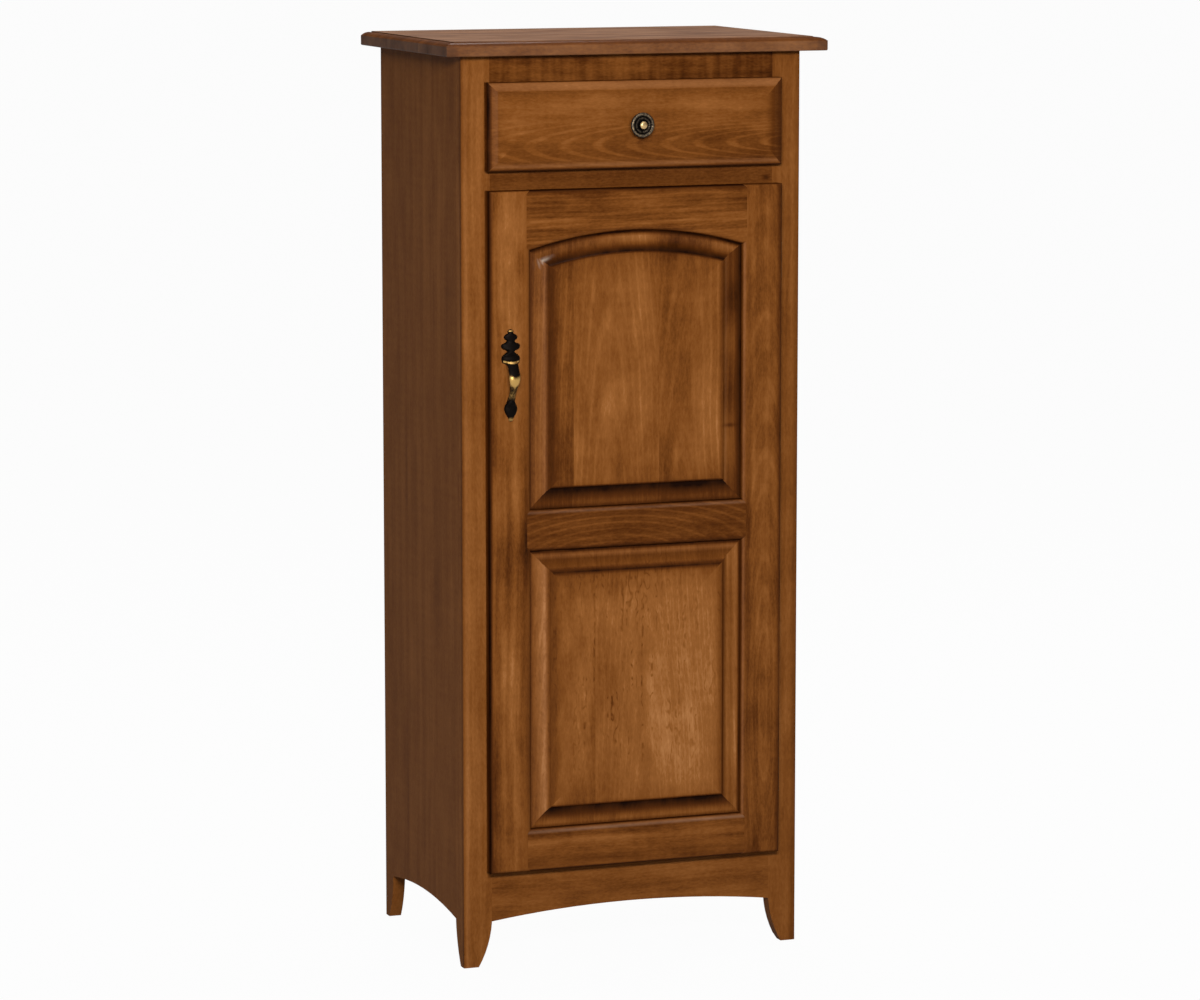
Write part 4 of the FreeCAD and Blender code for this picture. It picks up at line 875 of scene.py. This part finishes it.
def cove_profile():
    """Distances from the opening and depths behind the door face, in millimetres.

    On the cove, at angle a from flat, distance = 19.2 + 16 * (sin a - sin 5) and
    depth = 6.2 - 16 * (cos 5 - cos a), with a from 5 to 45 degrees.
    """
    angle = np.radians(np.linspace(5, 45, 15))
    inset = COVE_FOOT + COVE_RADIUS * (np.sin(angle) - np.sin(angle[0]))
    depth = COVE_DEPTH - COVE_RADIUS * (np.cos(angle[0]) - np.cos(angle))
    margin = [(-8.5, 13.3), (-8.5, 7.15), (-1, 7.15), (0, 7.15), (0.6, 7.1), (1.2, 7.05), (2, 7),
              (3, 6.95), (5, 6.86), (8, 6.72), (11, 6.57), (14, 6.43), (17, 6.3)]
    field = [(29.25, 1.0), (29.5, 0.82)] + [
        (inner, FIELD_DEPTH) for inner in (30.2, 31, 32, 33.5, 35.5, 38, 42, 47, 53)]
    return np.concatenate([margin, np.stack([inset, depth], -1), field])


HALF_OPENING, CROWN, RISE = 159.5, 1044.0, 24.2
arch_radius = (HALF_OPENING ** 2 + RISE ** 2) / (2 * RISE)
moulded_board("panel_lower", "door_panel_lower", "door", Outline(HALF_OPENING, 199.5, 596.5),
              cove_profile(), LOWER_GLAZE_AND_SHADE, LOWER_SHEEN)
moulded_board("panel_upper", "door_panel_upper", "door",
              Outline(HALF_OPENING, 656.0, CROWN, arch=(CROWN - arch_radius, arch_radius)),
              cove_profile(), UPPER_GLAZE_AND_SHADE, UPPER_SHEEN, painted_glint=(-138, 1006, 9, 2.2, 24))

# %% The drawer front
# At distance 0, on the drawer front's side faces, the dark share is painted shade as well as glaze; the
# left and right bevels are dark end grain.
FRONT_GLAZE_AND_SHADE = dict(
    left=[(0, 0.95), (1.5, 0.9), (2.8, 0.74), (4.2, 0.48), (6, 0.2), (12, 0.2), (15, 0.06), (18, 0)],
    right=[(0, 0.8), (1, 0.6), (5, 0.54), (9, 0.4), (12, 0.36), (14, 0.48), (17, 0.42), (21, 0.2), (28, 0)],
    bottom=[(0, 0.9), (1, 0.7), (2.5, 0.25), (4, 0), (8, 0), (12, 0.14), (20, 0.22), (30, 0.1)],
    top=[(0, 0.7), (0.6, 0.25), (1.5, 0), (12, 0), (13, 0.18), (16, 0.14), (22, 0)],
)
# Sheen shares thicken the coat and lighten the stain as a painted highlight.
FRONT_SHEEN = dict(
    left=[(5, 0), (7, 0.3), (12, 0.3), (13, 0)],
    bottom=[(3, 0), (6, 0.6), (8, 0.4), (11, 0)],
    top=[(0.5, 0.3), (3, 0.75), (10, 0.75), (13, 0)],
)
FRONT_BEVEL = [
    (0, 20), (0, 19.5), (0, 16), (0, 13), (0, 9), (0, 6.4), (0.25, 6.05), (0.7, 5.7), (1.6, 5.26),
    (2.6, 4.8), (3.5, 4.38), (4.7, 3.83), (6, 3.23), (9, 1.85), (11, 0.92), (12.2, 0.37), (13, 0.06),
    (13.8, 0), (15, 0), (17, 0), (20, 0), (24, 0), (29, 0)]
low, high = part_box("drawer_front")
moulded_board("front_of_drawer", "drawer_front", "drawer",
              Outline(1000 * high[0], 1000 * low[2], 1000 * high[2]),
              FRONT_BEVEL, FRONT_GLAZE_AND_SHADE, FRONT_SHEEN)

# %% [markdown]
# ## The pull
#
# The pull is one casting, 130 mm long: a leafy finial above, a collar, a bow that stands off the
# door and thins to a stem, and a pointed leaf below. The two plates are cushions, so each is a
# half-round section whose width follows the outline. The bow is an oval section carried along a
# line that leaves the door at the collar and comes back at the leaf. Sizes are in millimetres
# from the middle of the pull.

# %% Cast the pull
PULL_X, PULL_Z = -0.18975, 0.847
FINIAL = [  # height, half width, rise
    (14, 5, 3), (17, 8.5, 4.4), (22, 11.6, 5.2), (26, 12, 5), (29.5, 10.4, 5.4), (32, 6.6, 6.4),
    (34, 5.6, 6.6), (35.6, 7, 6.6), (37.4, 11.6, 6.4), (39.6, 13.7, 5.8), (42, 13.9, 5.4),
    (44.4, 12.4, 4.8), (46.4, 7.6, 4.4), (48, 6, 4.2), (49.4, 6.6, 4.2), (51.2, 9, 4.3), (53.4, 10, 4.3),
    (55.6, 9.6, 4.3), (57.6, 7.2, 4.1), (59.2, 4.4, 3.8), (60.6, 4, 3.7), (62.2, 4.6, 3.8), (63.8, 3.4, 3),
    (65, 0, 0)]
LEAF = [
    (-65, 0, 0), (-63.6, 2.8, 2.4), (-61, 3.8, 3.2), (-58, 4.8, 3.6), (-54, 7.4, 4.2), (-49, 9.4, 4.6),
    (-44, 9.2, 4.8), (-39, 6.9, 6.6), (-34, 4.6, 6.6), (-30, 3, 5)]
BOW = [  # height, distance from the door, half width, half thickness
    (21, 3, 8.2, 2.6), (17.5, 7.2, 8, 2.9), (12, 12.4, 7.8, 3), (5, 16.6, 7.8, 3), (-2, 18.6, 8, 3.1),
    (-8, 18, 7.2, 3.1), (-14, 15.4, 5.8, 3), (-20, 11.8, 4.9, 2.9), (-26, 8.2, 4.7, 2.8),
    (-32, 5, 4.9, 2.8), (-37, 2.6, 5, 2.4)]
COLLAR = [
    (28.4, 0, 0), (27.9, 11.4, 5.2), (26, 13.2, 7), (23, 13.6, 7.6), (20, 13, 7.2), (17.6, 11.2, 5.8),
    (17, 0, 0)]
AROUND = 40


def on_door(across, out, height):
    """Millimetres from the middle of the pull to metres in the frame."""
    return np.stack([PULL_X + across / 1000, DOOR_FACE - out / 1000, PULL_Z + height / 1000], -1)


def cushion(stations, rows):
    """A plate with a flat back.

    At angle a round the section, across = half width * cos a, and out = rise * sin a ** 0.75 on
    the front and 0 on the back.
    """
    height, half, rise = smooth_line(stations, rows).T[:, :, None]
    a = round_angles(AROUND)
    across = np.maximum(half, 0) * np.cos(a)
    out = np.maximum(rise, 0) * np.maximum(np.sin(a), 0) ** 0.75
    return on_door(across, out, height + 0 * a)


def bow_tube(stations, rows):
    """An oval section carried along the bow's line, square to it, and closed at both ends."""
    height, out, half, thick = smooth_line(stations, rows).T
    along = np.stack([np.gradient(out), np.gradient(height)], -1)
    along /= np.linalg.norm(along, axis=1, keepdims=True)
    half[[0, -1]] = thick[[0, -1]] = 0
    a = round_angles(AROUND)
    lift = thick[:, None] * np.sign(np.sin(a)) * np.abs(np.sin(a)) ** 0.9
    return on_door(half[:, None] * np.cos(a), out[:, None] + lift * along[:, 1:2],
                   height[:, None] - lift * along[:, 0:1])


def pull_worn(points):
    """Rubbed at the tips, on the collar's lower lip and on the belly of the bow."""
    height = (points[:, 2] - PULL_Z) * 1000
    out = (DOOR_FACE - points[:, 1]) * 1000
    across = np.abs(points[:, 0] - PULL_X) * 1000
    tips = bell(height, 62.8, 2.4) + bell(height, -62.0, 4.2)
    lip = bell(height, 18.6 + 0.012 * across ** 2, 1.7) * (out > 3.5)
    belly = bell(height, -8.5 + 0.5 * across, 8.0) * (out > 11)
    stem = bell(height, -27.0, 10.0) * (out > 3)
    return 0.58 * tips + 0.95 * lip + 0.95 * belly + 0.50 * stem


casting = [cushion(FINIAL, 130), cushion(COLLAR, 40), bow_tube(BOW, 90), cushion(LEAF, 90)]
rubbed_piece("pull", casting, pull_worn, pull_brass, "door", "door_pull")

# %% [markdown]
# ## The knob
#
# The drawer's knob was turned: a collar on the wood, a waisted neck, a flared dish with a broad
# rim, a dark hollow and a bright button in the middle. A turned piece is its profile, radius
# against distance from the drawer front, carried round the axis.

# %% Turn the knob
KNOB_Z = 1.1925
KNOB = [  # radius, distance from the drawer front, in millimetres
    (0, 0), (8.2, 0), (8.7, 0.8), (8.4, 2), (7, 2.9), (6.2, 5), (5.9, 7.6), (6.6, 10.2), (9, 12.8),
    (13, 14.9), (16.2, 16.4), (17.4, 17.9), (17.2, 19.4), (16, 20.4), (14.4, 20.6), (12.8, 20),
    (11.6, 18.9), (10, 18), (8.2, 18.1), (6.9, 19), (6.4, 21), (5.4, 23.2), (3.4, 24.6), (1.2, 24.98),
    (0, 25)]


def turn(profile, rows, columns, centre):
    """Each profile point (radius, out) runs round: x and z are radius * cos a and sin a."""
    radius, out = smooth_line(profile, rows).T[:, :, None] / 1000
    radius, out = np.maximum(radius, 0), np.clip(out, 0, profile[-1][1] / 1000)
    a = round_angles(columns)
    return np.stack([centre[0] + radius * np.cos(a), centre[1] - out + 0 * a,
                     centre[2] + radius * np.sin(a)], -1)


def knob_worn(points):
    """Bright on the button, half rubbed on the rim and a little in the dish."""
    radius = np.hypot(points[:, 0], points[:, 2] - KNOB_Z) * 1000
    out = (DOOR_FACE - points[:, 1]) * 1000
    rim = 0.48 * bell(radius, 15.2, 3.2) * (out > 15)
    dish = 0.38 * bell(radius, 10.0, 3.0) * (out > 16)
    return 1.2 * (radius < 5.2) * (out > 20) + np.maximum(rim, dish)


turned = turn(KNOB, 140, 72, (0, DOOR_FACE, KNOB_Z))
rubbed_piece("knob", [turned], knob_worn, knob_brass, "drawer", "drawer_knob")

# %% [markdown]
# ## Screws
#
# With the door or the drawer open, the screws show: low round heads with a cross for the driver.
# A head is a square grid drawn out to a disc, so that the cross lies along the grid's lines and
# keeps its edges. The disc's border then runs down as a ring, in under the head and along the
# shank to the tip. The heads in the door's hinge leaves are lower than the rest, and flat.

# %% Drive the screws
HEAD, SHANK, TIP = 3.6, 1.8, 3
FLAT_HEAD, DOME = 1.2, 0.7
CROSS_HALF, CROSS_REACH, CROSS_DEPTH = 0.12, 0.6, 1.08
HINGE_ROWS = (233, 263, 979, 1009)
SCREWS = {  # node: body, way the head looks, head height, shank length, seats of the heads
    "knob_screw": ("drawer", "+Y", 1.8, 44.5, [(0, -146.5, 1192.5)]),
    "drawer_front_screws": ("drawer", "+Y", 1.8, 24.0, [
        (side * 140.48, -146.5, 1191.5) for side in (-1, 1)]),
    "pull_screws": ("door", "+Y", 1.8, 26.0, [(-189.75, -158.5, z) for z in (811.25, 882.75)]),
    "hinge_door_screws": ("door", "+Y", 1.2, 12.0, [(202.08, -159.7, z) for z in HINGE_ROWS]),
    "hinge_frame_screws": ("carcass", "-X", 1.8, 13.2, [(210.8, -146.5, z) for z in HINGE_ROWS]),
    "top_screws": ("carcass", "-Z", 1.8, 32.0, [
        (x, y, 1271) for x in (-226, 226) for y in (-57.5, 100.5)]),
}


def screw(height, length):
    """Body and head of a screw along its own axis, as two grids of (a, b, out) in millimetres.

    A point (u, v) of the square goes to a = u * sqrt(1 - v * v / 2), b = v * sqrt(1 - u * u / 2)
    on a disc of radius 1. A domed head falls with the square of the radius, and where |a| or |b|
    is under 0.12, and the radius under 0.6, the cross is 1.08 mm deep.
    """
    line = np.array([0.14, 0.22, 0.34, 0.48, 0.62, 0.74, 0.85, 0.94, 1.0])
    line = np.concatenate([-line[::-1], [-0.10, 0.0, 0.10], line])
    u, v = np.meshgrid(line, line)
    a, b = u * np.sqrt(1 - v * v / 2), v * np.sqrt(1 - u * u / 2)
    radius = np.hypot(a, b)
    cross = (np.minimum(np.abs(a), np.abs(b)) < CROSS_HALF) * (radius < CROSS_REACH)
    out = height - DOME * (height > FLAT_HEAD) * radius ** 2 - CROSS_DEPTH * cross
    face = np.stack([HEAD * a, HEAD * b, out], -1)
    rim = np.concatenate([face[0, :-1], face[:-1, -1], face[-1, :0:-1], face[:0:-1, 0]])
    steps = [(1, rim[0, 2]), (1, 0), (SHANK / HEAD, 0), (SHANK / HEAD, TIP - length), (0, -length)]
    body = np.stack([np.column_stack([rim[:, :2] * size, np.full(len(rim), level)])
                     for size, level in steps])
    return body, face


def aim(grid, way, seat):
    """Turn a grid of (a, b, out) so that out looks the given way from a seat; in metres."""
    order = {"X": [2, 0, 1], "Y": [0, 2, 1], "Z": [0, 1, 2]}[way[1]]
    turned = grid * (1, 1, -1 if way[0] == "-" else 1)
    return (turned[..., order] + np.array(seat)) / 1000


for name, (body, way, height, length, seats) in SCREWS.items():
    grids = [[aim(grid, way, seat) for seat in seats] for grid in screw(height, length)]
    piece = make_piece(name + "_driven", *grids, crease=35)
    stand_in(piece, finish["zinc_steel"], body, name)
print("screws:", sum(len(row[-1]) for row in SCREWS.values()))
